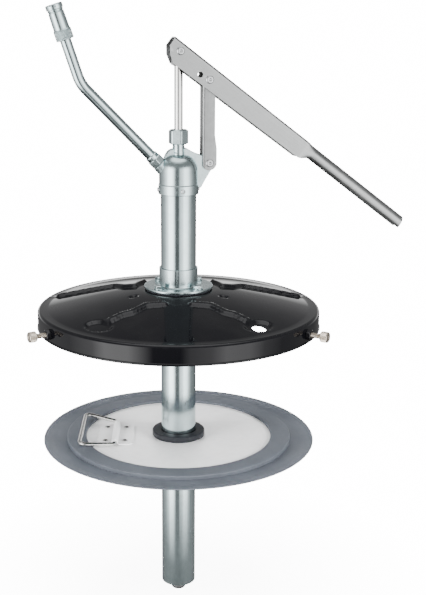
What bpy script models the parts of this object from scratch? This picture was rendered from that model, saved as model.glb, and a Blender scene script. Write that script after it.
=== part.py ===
"""Hand lever grease filler pump for a pail: drum cover, pump barrel, lever linkage and follower plate.

Metres, +Z up. The origin is on the pump's axis, level with the flat rim of the drum cover.
The lever swings in the XZ plane, its grip towards +X, and the outlet spout leans towards -X.
"""
from math import acos, asin, cos, degrees, hypot, pi, radians, sin, tan

import bmesh
import bpy
from mathutils import Vector

MM = 0.001
FIT = 0.3 * MM              # gap between pieces that touch, seat or slide on each other
SMALL, MEDIUM, LARGE = 12, 28, 48   # sides of pins, of barrel pieces and of the wide discs
COUPLER_SIDES = 20
HOLE_SIDES = 9              # small drilled holes; SMALL is a multiple of 6, for the hexagons

# Pump barrel
TUBE_R = 20.9 * MM
TUBE_WALL = 1.6 * MM
TUBE_TOP = 150.0 * MM
TUBE_BOTTOM = -360.0 * MM

# Drum cover
COVER_R = 167.5 * MM
COVER_SKIRT = 23.0 * MM
COVER_SHEET = 1.2 * MM
COVER_HEM = 0.8 * MM        # how far the rolled hem stands out of the skirt
COVER_CORNER = 4.0 * MM
COVER_RISE = 21.0 * MM      # height of the flat seat in the middle above the rim
COVER_CROWN = 1.25          # power of the crown's curve, 1 is a plain cone
SEAT_LAND = 2.4 * MM        # flat seat left round the flange
RIM_FLAT = 7.5 * MM         # width of the flat ring that rests on the drum
PATTERN_TURN = radians(-13) # the cover and the follower are turned against the lever's plane
VENT_R = 8.0 * MM
VENT_INSET = 29.5 * MM       # vent's centre in from the cover's edge
VENT_ANGLE = radians(-50)
THUMB_ANGLES = (radians(-150), radians(-30), radians(90))
THUMB_DROP = 12.0 * MM      # thumb screws below the rim
THUMB_R = 3.0 * MM
THUMB_KNOB_R = 6.2 * MM
THUMB_KNOB = 9.0 * MM
THUMB_NECK = 3.0 * MM       # bare screw between boss and knob
THUMB_TRAVEL = 8.0 * MM
BOSS_R = 6.5 * MM
BOSS_LENGTH = 5.0 * MM

# Flange that holds the barrel on the cover
FLANGE_EDGE = 8.6 * MM      # bolt circle to the flange's edge
FLANGE_PLATE = 3.0 * MM
FLANGE_COLLAR = 21.5 * MM   # collar height above the plate
FLANGE_WALL = 1.7 * MM
GASKET = 1.0 * MM
BACKING = 3.0 * MM
BOLT_LAND = 9.1 * MM        # collar to the bolt circle
BOLT_R = 3.0 * MM
BOLT_HEAD = 10.0 * MM       # across flats
BOLT_HEAD_H = 4.0 * MM
BOLT_COUNT = 4

# Pump head
HEAD_WALL = 1.6 * MM
HEAD_BOTTOM = 134.5 * MM
HEAD_BAND = 11.0 * MM
HEAD_BAND_OUT = 0.7 * MM
HEAD_SHOULDER = 161.0 * MM
HEAD_TOP = 180.0 * MM
HEAD_DOME_WALL = 4.0 * MM
SET_SCREW_R = 2.6 * MM
SET_SCREW_OUT = 1.6 * MM
SET_SCREW_UP = 5.5 * MM
O_RING = 1.5 * MM
NECK_R = 7.2 * MM
NECK_TOP = 199.0 * MM
GLAND_BOTTOM = 192.0 * MM
GLAND_TOP = 209.0 * MM
GLAND_FLATS = 20.5 * MM
GLAND_LID = 4.2 * MM
RIB_WIDTH = 6.0 * MM
EAR_WIDTH = 12.0 * MM
EAR_R = 7.5 * MM

# Outlet spout, in the XZ plane
OUTLET_FOOT = 146.0 * MM    # where the outlet's line meets the pump's axis
OUTLET_TILT = radians(45.9)
BOSS_STAND = 0.25 * MM      # outlet's boss beyond the head's wall, along the outlet's line
OUTLET_BOSS_R = 8.2 * MM
OUTLET_NUT = 13.7 * MM
OUTLET_FLATS = 16.0 * MM
PIPE_R = 6.35 * MM
PIPE_WALL = 1.4 * MM
PIPE_RUN = 161.0 * MM       # outlet's foot to the bend
PIPE_TILT = radians(71.9)
PIPE_RISE = 50.4 * MM       # bend to the coupler
PIPE_BEND_R = 40.0 * MM
PIPE_SEAT = 9.7 * MM        # pipe inside the coupler
COUPLER_KNURL_R = 10.1 * MM
COUPLER_KNURL = 11.0 * MM
COUPLER_R = 9.2 * MM
COUPLER_BODY = 34.0 * MM
COUPLER_SOCKET_R = 6.5 * MM
COUPLER_SOCKET = 12.0 * MM
COUPLER_COLLAR_R = 9.7 * MM
COUPLER_COLLAR = 5.7 * MM
COUPLER_MOUTH_R = 5.2 * MM
COUPLER_SEAL = 3.5 * MM

# Lever linkage: rod pin A, link pivot B and ear pin C, in the XZ plane
ROD_PIN_Z = 297.0 * MM
EAR_PIN_OUT = 12.2 * MM     # ear pin beyond the head's wall
EAR_PIN_Z = 170.0 * MM
LINK_LEAN = 1.0 * MM        # link pivot back from the ear pin, towards the pump's axis
LINK_RISE = 95.0 * MM
PIN_R = 3.0 * MM
PIN_HEAD_R = 4.6 * MM
PIN_HEAD = 1.3 * MM
LEVER_SLOPE = radians(37)
LEVER_SHEET = 2.0 * MM
LEVER_WIDTH = 22.0 * MM
LEVER_TOP = 9.4 * MM        # top of the channel above the pin's line
LEVER_DEPTH_PIVOT = 16.0 * MM
LEVER_DEPTH_GRIP = 13.2 * MM
LEVER_FRONT = 13.4 * MM
LEVER_CHANNEL = 186.5 * MM  # rod pin to the end of the deep channel
LEVER_TAPER = 16.0 * MM
LEVER_LENGTH = 346.5 * MM
LEVER_CORNER = 3.5 * MM
GRIP_R = 9.1 * MM
GRIP_SEAM = radians(50)     # half opening of the rolled grip's seam
SPARE_HOLE = (34.2 * MM, -7.2 * MM)
LINK_WIDTH = 17.2 * MM
LINK_SHEET = 2.0 * MM
LINK_TOP_R = 7.4 * MM
LINK_FOOT_R = 8.5 * MM
LINK_WEB_LOW = 200.0 * MM
LINK_WEB_HIGH = 257.0 * MM

# Pump rod and piston
ROD_R = 5.0 * MM
EYE_R = 7.2 * MM
EYE_WIDTH = 13.0 * MM
EYE_DROP = 16.0 * MM
PISTON_Z = -270.0 * MM      # underside of the piston
PISTON_H = 10.0 * MM
PISTON_GAP = 1.1 * MM
CUP_H = 6.0 * MM
CUP_DEPTH = 3.0 * MM
NUT_H = 5.7 * MM
NUT_FLATS = 14.0 * MM
VALVE_GAP = 4.3 * MM        # flow space left round each valve plate
VALVE_PLATE = 2.0 * MM
FLOW_R = 3.0 * MM
FLOW_INSET = 4.5 * MM       # flow holes' circle in from the valve plate's edge
FLOW_COUNT = 6
PRIMER_R = 4.0 * MM
PRIMER_DISC_R = 9.5 * MM
PRIMER_DISC = 10.0 * MM
FOOT_RECESS = 6.0 * MM      # open mouth of the barrel below the snap ring
FOOT_RING = 1.5 * MM
FOOT_RING_WIDTH = 2.6 * MM
FOOT_SEAT = 6.0 * MM

# Follower plate
DISC_TOP = -164.0 * MM
DISC_SHEET = 1.5 * MM
LIP_GAP = 1.7 * MM          # follower's lip to the inside of the cover's skirt
LIP_WIDTH = 28.1 * MM       # bare lip outside the clamp ring
RING_WIDTH = 23.6 * MM
RING_WRAP = 2.2 * MM        # how far the clamp ring stands out over the disc's edge
RING_H = 3.0 * MM
LIP_INSET = 12.9 * MM       # how far the lip seal reaches in under the disc
LIP_H = 3.0 * MM
LIP_RISE = 2.2 * MM
COLLAR_WIDTH = 10.8 * MM
COLLAR_H = 7.0 * MM
COLLAR_NECK = 3.0 * MM
COLLAR_FOOT = 2.8 * MM
BAIL_R = 2.5 * MM
BAIL_PLACE = 0.73           # share of the strap's free room that lies on the barrel's side
BAIL_Y = -4.5 * MM
BAIL_AXLE = 76.0 * MM
BAIL_SPREAD = 104.0 * MM
BAIL_REACH = 41.5 * MM
BAIL_CORNER = 7.0 * MM
STRAP_X = 43.0 * MM
STRAP_Y = 66.0 * MM
STRAP_SHEET = 1.2 * MM
RIVET_X = 23.5 * MM
RIVET_Y = 44.0 * MM
RIVET_R = 2.0 * MM
RIVET_HEAD_R = 3.4 * MM
RIVET_HEAD = 1.6 * MM

ROD_BORE_R = ROD_R + FIT
TUBE_BORE_R = TUBE_R - TUBE_WALL
TUBE_FIT_R = TUBE_R + FIT
HEAD_R = TUBE_FIT_R + HEAD_WALL
BAND_R = HEAD_R + HEAD_BAND_OUT
BOSS_END = HEAD_R / cos(OUTLET_TILT) + BOSS_STAND
EAR_PIN = Vector((HEAD_R + EAR_PIN_OUT, 0, EAR_PIN_Z))
LINK_TOP = EAR_PIN + Vector((-LINK_LEAN, 0, LINK_RISE))
BOLT_CIRCLE_R = TUBE_FIT_R + FLANGE_WALL + BOLT_LAND
FLANGE_R = BOLT_CIRCLE_R + FLANGE_EDGE
SEAT_R = FLANGE_R + SEAT_LAND
VENT_REACH = COVER_R - VENT_INSET
PISTON_R = TUBE_BORE_R - PISTON_GAP
VALVE_R = TUBE_BORE_R - VALVE_GAP
FLOW_CIRCLE_R = VALVE_R - FLOW_INSET
LIP_R = COVER_R - COVER_SHEET - LIP_GAP
RING_OUT_R = LIP_R - LIP_WIDTH
RING_IN_R = RING_OUT_R - RING_WIDTH
DISC_R = RING_OUT_R - RING_WRAP - FIT
LIP_IN_R = RING_IN_R - LIP_INSET
COLLAR_R = TUBE_FIT_R + COLLAR_WIDTH
COVER_BORE_R = TUBE_R + 3 * MM
PIN_BORE_R = PIN_R + FIT
LINK_GAP = LINK_WIDTH - 2 * LINK_SHEET
GASKET_Z = COVER_RISE + FIT
FLANGE_Z = GASKET_Z + GASKET + FIT
FLANGE_TOP = FLANGE_Z + FLANGE_PLATE
BACKING_TOP = COVER_RISE - COVER_SHEET - FIT
BACKING_Z = BACKING_TOP - BACKING
STRAP_Z = DISC_TOP + FIT
AXLE_Z = STRAP_Z + BAIL_R + FIT


def bail_axle_x():
    """Axle's place: the strap sits in the room between the collar and the ring's inner edge."""
    edge = (RING_IN_R ** 2 - (STRAP_Y / 2 + abs(BAIL_Y)) ** 2) ** 0.5
    room = edge - COLLAR_R - STRAP_X
    return -(COLLAR_R + BAIL_PLACE * room + STRAP_X / 2)


def bail_lift():
    """Angle at which the wire lies just over the clamp ring's inner edge."""
    across = (BAIL_AXLE + BAIL_SPREAD) / 4 + abs(BAIL_Y)
    reach = (RING_IN_R ** 2 - across ** 2) ** 0.5 + bail_axle_x()
    return asin((DISC_TOP + RING_H + 3 * FIT + BAIL_R - AXLE_Z) / reach)


# colour, roughness, metallic
FINISHES = {
    "zinc_plate": ((0.63, 0.67, 0.67), 0.22, 1.0),
    "satin_steel": ((0.60, 0.61, 0.61), 0.38, 1.0),
    "black_enamel": ((0.012, 0.012, 0.014), 0.15, 0.0),
    "slate_rubber": ((0.16, 0.17, 0.19), 0.65, 0.0),
    "dark_rubber": ((0.035, 0.037, 0.042), 0.6, 0.0),
    "sheet_steel": ((0.68, 0.69, 0.70), 0.42, 1.0),
    "nickel_plate": ((0.62, 0.56, 0.48), 0.3, 1.0),
    "bright_wire": ((0.72, 0.72, 0.70), 0.2, 1.0),
    "turned_steel": ((0.45, 0.46, 0.47), 0.35, 1.0),
}


def finish_material(node, finish):
    """One Principled material for one node, in one of the finishes above."""
    colour, roughness, metallic = FINISHES[finish]
    made = bpy.data.materials.new(node + "_finish")
    made.use_nodes = True
    shader = made.node_tree.nodes["Principled BSDF"]
    shader.inputs["Base Color"].default_value = (*colour, 1.0)
    shader.inputs["Roughness"].default_value = roughness
    shader.inputs["Metallic"].default_value = metallic
    made.diffuse_color = (*colour, 1.0)
    return made


def empty(name, location=(0, 0, 0), turn=(0, 0, 0), parent=None):
    """A named axis or frame that pieces are parented to."""
    made = bpy.data.objects.new(name, None)
    made.empty_display_size = 20 * MM
    bpy.context.collection.objects.link(made)
    made.parent = parent
    made.location = location
    made.rotation_euler = turn
    return made


def node(name, shape, finish, parent=None, location=(0, 0, 0), turn=(0, 0, 0), outward=None):
    """Turn a finished bmesh into an object; outward aims the mesh's Z along a direction."""
    bmesh.ops.recalc_face_normals(shape, faces=shape.faces)
    mesh = bpy.data.meshes.new(name)
    shape.to_mesh(mesh)
    shape.free()
    mesh.shade_smooth()
    mesh.set_sharp_from_angle(angle=radians(35))
    made = bpy.data.objects.new(name, mesh)
    bpy.context.collection.objects.link(made)
    if finish:
        mesh.materials.append(finish_material(name, finish))
    made.parent = parent
    made.location = location
    made.rotation_euler = turn
    if outward is not None:
        made.rotation_euler = Vector(outward).to_track_quat("Z", "Y").to_euler()
    return made


def tool(name, shape, **place):
    """A shape that only cuts or joins: shown as wire and left out of the model."""
    made = node(name, shape, None, **place)
    made.hide_render = True
    made.display_type = "WIRE"
    return made


def combine(target, tools, operation):
    """Add an exact Boolean for each tool, with its own named modifier."""
    for shape in tools:
        step = target.modifiers.new(shape.name, "BOOLEAN")
        step.operation = operation
        step.solver = "EXACT"
        step.object = shape
    return target


def arc(centre, radius, start, end, steps):
    """Points on an arc in a plane, both ends included, angles in degrees."""
    angles = [radians(start + (end - start) * k / steps) for k in range(steps + 1)]
    return [(centre[0] + radius * cos(a), centre[1] + radius * sin(a)) for a in angles]


def spun(outline, sides):
    """Spin a closed outline of (radius, height) points round Z; radius 0 closes on the axis."""
    shape = bmesh.new()
    corners = [shape.verts.new((radius, 0, height)) for radius, height in outline]
    solid = outline[0][0] == 0 and outline[-1][0] == 0
    for k in range(len(corners) - (1 if solid else 0)):
        shape.edges.new((corners[k], corners[(k + 1) % len(corners)]))
    bmesh.ops.spin(shape, geom=shape.verts[:] + shape.edges[:], cent=(0, 0, 0), axis=(0, 0, 1),
                   angle=2 * pi, steps=sides, use_merge=True)
    bmesh.ops.remove_doubles(shape, verts=shape.verts, dist=1e-6)
    return shape


def skinned(rings, loop=False):
    """Join rings of equally many points; the ends are capped unless the rings close in a loop."""
    shape = bmesh.new()
    rows = [[shape.verts.new(point) for point in ring] for ring in rings]
    count = len(rows[0])
    for k in range(len(rows) if loop else len(rows) - 1):
        low, high = rows[k], rows[(k + 1) % len(rows)]
        for i in range(count):
            j = (i + 1) % count
            shape.faces.new((low[i], low[j], high[j], high[i]))
    if not loop:
        shape.faces.new(rows[0])
        shape.faces.new(rows[-1])
    return shape


def ring_at(radius, height, sides=SMALL):
    """Round ring of points about Z."""
    return [(radius * cos(2 * pi * k / sides), radius * sin(2 * pi * k / sides), height)
            for k in range(sides)]


def hex_at(flats, height, sides=SMALL):
    """Hexagonal ring of points about Z, as many points as a round one, from a corner on +X."""
    points = []
    for k in range(sides):
        a = 2 * pi * k / sides
        radius = flats / 2 / cos(a % (pi / 3) - pi / 6)
        points.append((radius * cos(a), radius * sin(a), height))
    return points


def hex_nut(flats, height, bore, low=0.0):
    """Hexagonal nut with a plain round bore, standing on height low."""
    return skinned([hex_at(flats, low), hex_at(flats, low + height),
                    ring_at(bore, low + height), ring_at(bore, low)], loop=True)


def rod_between(radius, low, high, sides=SMALL):
    """Plain cylinder on Z between two heights."""
    return spun([(0, low), (radius, low), (radius, high), (0, high)], sides)


def washer(inner, outer, low, high, sides=MEDIUM):
    """Plain ring on Z between two heights."""
    return spun([(inner, low), (outer, low), (outer, high), (inner, high)], sides)


def plate(outline, width):
    """Extrude an outline of (x, z) points to a width centred on Y = 0."""
    shape = bmesh.new()
    face = shape.faces.new([shape.verts.new((x, -width / 2, z)) for x, z in outline])
    grown = bmesh.ops.extrude_face_region(shape, geom=[face])
    moved = [item for item in grown["geom"] if isinstance(item, bmesh.types.BMVert)]
    bmesh.ops.translate(shape, verts=moved, vec=(0, width, 0))
    return shape


def block(low, high):
    """Box between two corners."""
    return plate([(low[0], low[2]), (high[0], low[2]), (high[0], high[2]), (low[0], high[2])],
                 high[1] - low[1])


def swept(path, across, outer, inner=None, loop=False, sides=SMALL):
    """Round bar or pipe along a flat path; across is the unit normal of the path's plane."""
    across = Vector(across)
    centres = [Vector(point) for point in path]
    count = len(centres)

    def ring(k, radius):
        before = centres[k - 1] if loop or k > 0 else centres[k]
        after = centres[(k + 1) % count] if loop or k < count - 1 else centres[k]
        side = (after - before).normalized().cross(across)
        return [centres[k] + radius * (cos(2 * pi * i / sides) * side
                                       + sin(2 * pi * i / sides) * across) for i in range(sides)]

    rings = [ring(k, outer) for k in range(count)]
    if inner is None:
        return skinned(rings, loop)
    return skinned(rings + [ring(k, inner) for k in reversed(range(count))], loop=True)


def rounded_path(corners, radius, steps, closed=False):
    """Round the corners of a flat path of Vectors with arcs of one radius."""
    count = len(corners)
    path = []
    for k, corner in enumerate(corners):
        if not closed and k in (0, count - 1):
            path.append(corner)
            continue
        back = (corners[k - 1] - corner).normalized()
        ahead = (corners[(k + 1) % count] - corner).normalized()
        half = acos(max(-1.0, min(1.0, back.dot(ahead)))) / 2
        centre = corner + (back + ahead).normalized() * radius / sin(half)
        start = corner + back * radius / tan(half) - centre
        end = corner + ahead * radius / tan(half) - centre
        turn = pi - 2 * half
        for i in range(steps + 1):
            share = i / steps
            path.append(centre + (start * sin(turn * (1 - share)) + end * sin(turn * share))
                        / sin(turn))
    return path


def round_circle(angle, reach, height=0.0):
    """Point at an angle and a distance from the Z axis."""
    return (reach * cos(angle), reach * sin(angle), height)


# ---------------------------------------------------------------- cover and flange

def crown_height(radius):
    """Top of the cover's crown at a radius, from the seat's edge down to the flat rim."""
    rim = COVER_R - COVER_CORNER - RIM_FLAT
    share = min(max((radius - SEAT_R) / (rim - SEAT_R), 0.0), 1.0)
    return COVER_RISE * (1 - share ** COVER_CROWN)


def cover_outline():
    """Section of the pressed cover: seat, crown, flat rim, corner, skirt and rolled hem."""
    rim = COVER_R - COVER_CORNER - RIM_FLAT
    radii = [SEAT_R + (rim - SEAT_R) * k / 5 for k in range(6)]
    top = [(COVER_BORE_R, COVER_RISE)] + [(r, crown_height(r)) for r in radii]
    under = [(r, z - COVER_SHEET) for r, z in top]
    centre = (COVER_R - COVER_CORNER, -COVER_CORNER)
    hem = [(COVER_R, 2 * MM - COVER_SKIRT), (COVER_R + COVER_HEM, 1.4 * MM - COVER_SKIRT),
           (COVER_R + COVER_HEM, -COVER_SKIRT), (COVER_R - COVER_SHEET, -COVER_SKIRT)]
    outer = top + arc(centre, COVER_CORNER, 90, 0, 3) + hem
    inner = arc(centre, COVER_CORNER - COVER_SHEET, 0, 90, 3) + under[::-1]
    return outer + inner


def thumb_direction(angle):
    return Vector((cos(angle), sin(angle), 0))


def make_cover(pattern):
    cover = node("drum_cover", spun(cover_outline(), LARGE), "black_enamel", pattern)
    cuts = [tool("vent_cut", rod_between(VENT_R, -30 * MM, 30 * MM), parent=pattern,
                 location=round_circle(VENT_ANGLE, VENT_REACH))]
    for k, angle in enumerate(THUMB_ANGLES):
        shape = rod_between(THUMB_R + FIT, -8 * MM, 8 * MM, HOLE_SIDES)
        cuts.append(tool("thumb_cut_%d" % (k + 1), shape, parent=pattern,
                         location=round_circle(angle, COVER_R, -THUMB_DROP),
                         outward=thumb_direction(angle)))
    cuts += bolt_cuts("cover_bolt_cut", pattern)
    combine(cover, cuts, "DIFFERENCE")


def bolt_angles():
    return [2 * pi * (k + 0.5) / BOLT_COUNT for k in range(BOLT_COUNT)]


def bolt_cuts(name, pattern):
    """Clearance holes for the flange bolts, long enough for every sheet they pass."""
    return [tool("%s_%d" % (name, k + 1), rod_between(BOLT_R + FIT, -10 * MM, 40 * MM, HOLE_SIDES),
                 parent=pattern, location=round_circle(angle, BOLT_CIRCLE_R))
            for k, angle in enumerate(bolt_angles())]


def make_flange(pattern):
    collar_r = TUBE_FIT_R + FLANGE_WALL
    outline = [(TUBE_FIT_R, FLANGE_Z), (FLANGE_R - 1 * MM, FLANGE_Z), (FLANGE_R, FLANGE_Z + 1 * MM),
               (FLANGE_R, FLANGE_TOP - 0.6 * MM), (FLANGE_R - 0.6 * MM, FLANGE_TOP),
               (collar_r + 2 * MM, FLANGE_TOP), (collar_r, FLANGE_TOP + 2 * MM),
               (collar_r, FLANGE_TOP + FLANGE_COLLAR), (TUBE_FIT_R, FLANGE_TOP + FLANGE_COLLAR)]
    flange = node("cover_flange", spun(outline, MEDIUM), "zinc_plate", pattern)
    gasket = node("flange_gasket", washer(COVER_BORE_R, FLANGE_R - 1 * MM, GASKET_Z,
                                          GASKET_Z + GASKET), "dark_rubber", pattern)
    backing = node("cover_backing_ring", washer(COVER_BORE_R, FLANGE_R, BACKING_Z, BACKING_TOP),
                   "turned_steel", pattern)
    for piece in (flange, gasket, backing):
        combine(piece, bolt_cuts(piece.name + "_cut", pattern), "DIFFERENCE")
    head_z = FLANGE_TOP + FIT
    for k, angle in enumerate(bolt_angles()):
        rings = [ring_at(BOLT_R, BACKING_Z), ring_at(BOLT_R, head_z), hex_at(BOLT_HEAD, head_z),
                 hex_at(BOLT_HEAD, head_z + BOLT_HEAD_H - 0.8 * MM),
                 ring_at(BOLT_HEAD / 2 - 0.5 * MM, head_z + BOLT_HEAD_H)]
        node("flange_bolt_%d" % (k + 1), skinned(rings), "zinc_plate", pattern,
             round_circle(angle, BOLT_CIRCLE_R), (0, 0, angle))


def make_thumb_screws(pattern):
    start = COVER_R + FIT
    for k, angle in enumerate(THUMB_ANGLES):
        out = thumb_direction(angle)
        place = round_circle(angle, start, -THUMB_DROP)
        boss = hex_nut(2 * BOSS_R * cos(pi / 6), BOSS_LENGTH, THUMB_R + FIT)
        node("screw_boss_%d" % (k + 1), boss, "black_enamel", pattern, place, outward=out)
        knob = BOSS_LENGTH + THUMB_TRAVEL + THUMB_NECK
        tip = -COVER_SHEET - FIT
        outline = [(0, tip), (THUMB_R - 0.8 * MM, tip), (THUMB_R, tip + 0.8 * MM), (THUMB_R, knob),
                   (THUMB_KNOB_R - 0.8 * MM, knob), (THUMB_KNOB_R, knob + 0.8 * MM),
                   (THUMB_KNOB_R, knob + THUMB_KNOB - 0.8 * MM),
                   (THUMB_KNOB_R - 0.8 * MM, knob + THUMB_KNOB), (0, knob + THUMB_KNOB)]
        node("thumb_screw_%d" % (k + 1), spun(outline, SMALL), "nickel_plate", pattern, place,
             outward=out)


# ---------------------------------------------------------------- barrel and head

def make_barrel():
    node("pump_tube", washer(TUBE_BORE_R, TUBE_R, TUBE_BOTTOM, TUBE_TOP), "zinc_plate")
    node("head_o_ring", washer(TUBE_BORE_R + FIT, TUBE_R - FIT, TUBE_TOP + FIT,
                               TUBE_TOP + FIT + O_RING), "dark_rubber")
    bore = TUBE_BORE_R - FIT
    ring_z = TUBE_BOTTOM + FOOT_RECESS
    outline_in = bore - FOOT_RING_WIDTH
    gap = radians(12)
    steps = 20
    angles = [gap + (2 * pi - 2 * gap) * k / steps for k in range(steps + 1)]
    rings = [[(r * cos(a), r * sin(a), z) for r, z in
              ((outline_in, ring_z), (bore, ring_z), (bore, ring_z + FOOT_RING),
               (outline_in, ring_z + FOOT_RING))] for a in angles]
    node("foot_snap_ring", skinned(rings), "turned_steel")
    seat_z = ring_z + FOOT_RING + FIT
    seat = node("foot_valve_seat", washer(PRIMER_R + FIT, bore, seat_z, seat_z + FOOT_SEAT),
                "turned_steel")
    combine(seat, flow_cuts("foot_flow_cut", seat_z - 5 * MM, seat_z + FOOT_SEAT + 5 * MM),
            "DIFFERENCE")
    lid_z = seat_z + FOOT_SEAT + FIT
    node("foot_valve_plate", washer(PRIMER_R + FIT, VALVE_R, 0, VALVE_PLATE, SMALL), "turned_steel",
         location=(0, 0, lid_z))


def flow_cuts(name, low, high):
    """A circle of round flow holes through a valve seat."""
    return [tool("%s_%d" % (name, k + 1), rod_between(FLOW_R, low, high, HOLE_SIDES),
                 location=round_circle(2 * pi * k / FLOW_COUNT, FLOW_CIRCLE_R))
            for k in range(FLOW_COUNT)]


def outlet_line(along):
    """Point on the outlet's slanted line, measured from the pump's axis."""
    return Vector((-cos(OUTLET_TILT) * along, 0, OUTLET_FOOT + sin(OUTLET_TILT) * along))


def outlet_direction():
    return (outlet_line(1.0) - outlet_line(0.0)).normalized()


def head_outline():
    """Outside of the head: band, straight wall, dome and threaded neck, closed on the axis."""
    dome = arc((0, HEAD_SHOULDER), 1.0, 0, 90, 6)
    reach = HEAD_R - NECK_R
    rise = HEAD_TOP - HEAD_SHOULDER
    curve = [(NECK_R + reach * x, HEAD_SHOULDER + rise * (z - HEAD_SHOULDER)) for x, z in dome]
    band_top = HEAD_BOTTOM + HEAD_BAND
    return ([(0, HEAD_BOTTOM), (BAND_R, HEAD_BOTTOM), (BAND_R, band_top),
             (HEAD_R, band_top + HEAD_BAND_OUT)] + curve[:-1]
            + [(NECK_R, HEAD_TOP), (NECK_R, NECK_TOP), (0, NECK_TOP)])


def head_cavity():
    """Inside of the head: socket for the barrel, grease chamber and rod bore."""
    socket_top = TUBE_TOP + 2 * FIT + O_RING
    chamber = TUBE_BORE_R - 2 * MM
    roof = HEAD_TOP - HEAD_DOME_WALL
    return [(0, HEAD_BOTTOM - 5 * MM), (TUBE_FIT_R, HEAD_BOTTOM - 5 * MM), (TUBE_FIT_R, socket_top),
            (chamber, socket_top), (chamber, HEAD_SHOULDER), (chamber * 0.8, HEAD_SHOULDER + 8 * MM),
            (ROD_BORE_R + 1 * MM, roof), (ROD_BORE_R, roof + 1 * MM),
            (ROD_BORE_R, NECK_TOP + 5 * MM), (0, NECK_TOP + 5 * MM)]


def ear_outline():
    """Cheek that carries the link: from the head's wall out to a round boss about the ear pin."""
    x, z = EAR_PIN.x, EAR_PIN.z
    inside = NECK_R - 2 * MM
    rounded = arc((x, z), EAR_R, -58, 100, 6)
    return ([(HEAD_R - 3 * MM, HEAD_BOTTOM + HEAD_BAND - 3 * MM), (BAND_R + 3.5 * MM, z - 28 * MM)]
            + rounded + [(NECK_R + 2 * MM, HEAD_TOP + 6 * MM), (inside, HEAD_TOP + 7 * MM),
                         (inside, HEAD_SHOULDER)])


def rib_outline():
    """Rib from the neck down to the outlet's boss."""
    foot = outlet_line(BOSS_END - 9 * MM)
    inside = NECK_R - 2 * MM
    return [(-inside, HEAD_SHOULDER), (-inside, HEAD_TOP + 7 * MM),
            (-NECK_R - 2 * MM, HEAD_TOP + 5 * MM), (foot.x, foot.z + OUTLET_BOSS_R + 0.6 * MM),
            (foot.x, foot.z)]


def make_head():
    head = node("pump_head", spun(head_outline(), MEDIUM), "zinc_plate")
    boss_root = outlet_line(12 * MM)
    boss = tool("outlet_boss", rod_between(OUTLET_BOSS_R, 0, BOSS_END - 12 * MM),
                location=boss_root, outward=outlet_direction())
    ear = tool("link_ear", plate(ear_outline(), EAR_WIDTH))
    rib = tool("outlet_rib", plate(rib_outline(), RIB_WIDTH))
    combine(head, [boss, ear, rib], "UNION")
    cuts = [tool("head_cavity", spun(head_cavity(), MEDIUM)),
            tool("outlet_bore", rod_between(PIPE_R - PIPE_WALL, 0, 40 * MM, HOLE_SIDES),
                 location=outlet_line(10 * MM), outward=outlet_direction()),
            tool("ear_pin_bore", rod_between(PIN_BORE_R, -EAR_WIDTH, EAR_WIDTH), location=EAR_PIN,
                 outward=(0, 1, 0))]
    screw_z = HEAD_BOTTOM + SET_SCREW_UP
    for k in range(4):
        angle = pi / 2 * k
        out = thumb_direction(angle)
        bore = rod_between(SET_SCREW_R + FIT, 0, 10 * MM, HOLE_SIDES)
        cuts.append(tool("set_screw_bore_%d" % (k + 1), bore,
                         location=round_circle(angle, TUBE_R - 3 * MM, screw_z), outward=out))
        shape = rod_between(SET_SCREW_R, 0, BAND_R + SET_SCREW_OUT - TUBE_FIT_R, HOLE_SIDES)
        node("head_set_screw_%d" % (k + 1), shape, "turned_steel",
             location=round_circle(angle, TUBE_FIT_R, screw_z), outward=out)
    combine(head, cuts, "DIFFERENCE")
    inner = NECK_R + FIT
    lid_z = GLAND_TOP - GLAND_LID
    rings = [hex_at(GLAND_FLATS, GLAND_BOTTOM), hex_at(GLAND_FLATS, GLAND_TOP),
             ring_at(ROD_BORE_R, GLAND_TOP), ring_at(ROD_BORE_R, lid_z),
             ring_at(inner, lid_z), ring_at(inner, GLAND_BOTTOM)]
    node("gland_nut", skinned(rings, loop=True), "zinc_plate", turn=(0, 0, radians(-25)))
    node("gland_packing", washer(ROD_BORE_R, NECK_R - FIT, NECK_TOP + FIT, lid_z - FIT, SMALL),
         "dark_rubber")
    heads = LINK_WIDTH / 2 + FIT
    node("ear_pin", pin_shape(heads), "turned_steel", location=EAR_PIN, outward=(0, 1, 0))


def pin_shape(half):
    """Riveted pin with a head at each end; half is half the length between the heads."""
    dome = PIN_HEAD_R - 1 * MM
    end = half + PIN_HEAD
    return spun([(0, -end), (dome, -end), (PIN_HEAD_R, -half - 0.4 * MM), (PIN_HEAD_R, -half),
                 (PIN_R, -half), (PIN_R, half), (PIN_HEAD_R, half), (PIN_HEAD_R, half + 0.4 * MM),
                 (dome, end), (0, end)], SMALL)


def coupler_frame():
    """Bend point, coupler start and the direction of the pipe's upper stretch."""
    bend = outlet_line(PIPE_RUN)
    up = Vector((-cos(PIPE_TILT), 0, sin(PIPE_TILT)))
    return bend, bend + up * PIPE_RISE, up


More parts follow.
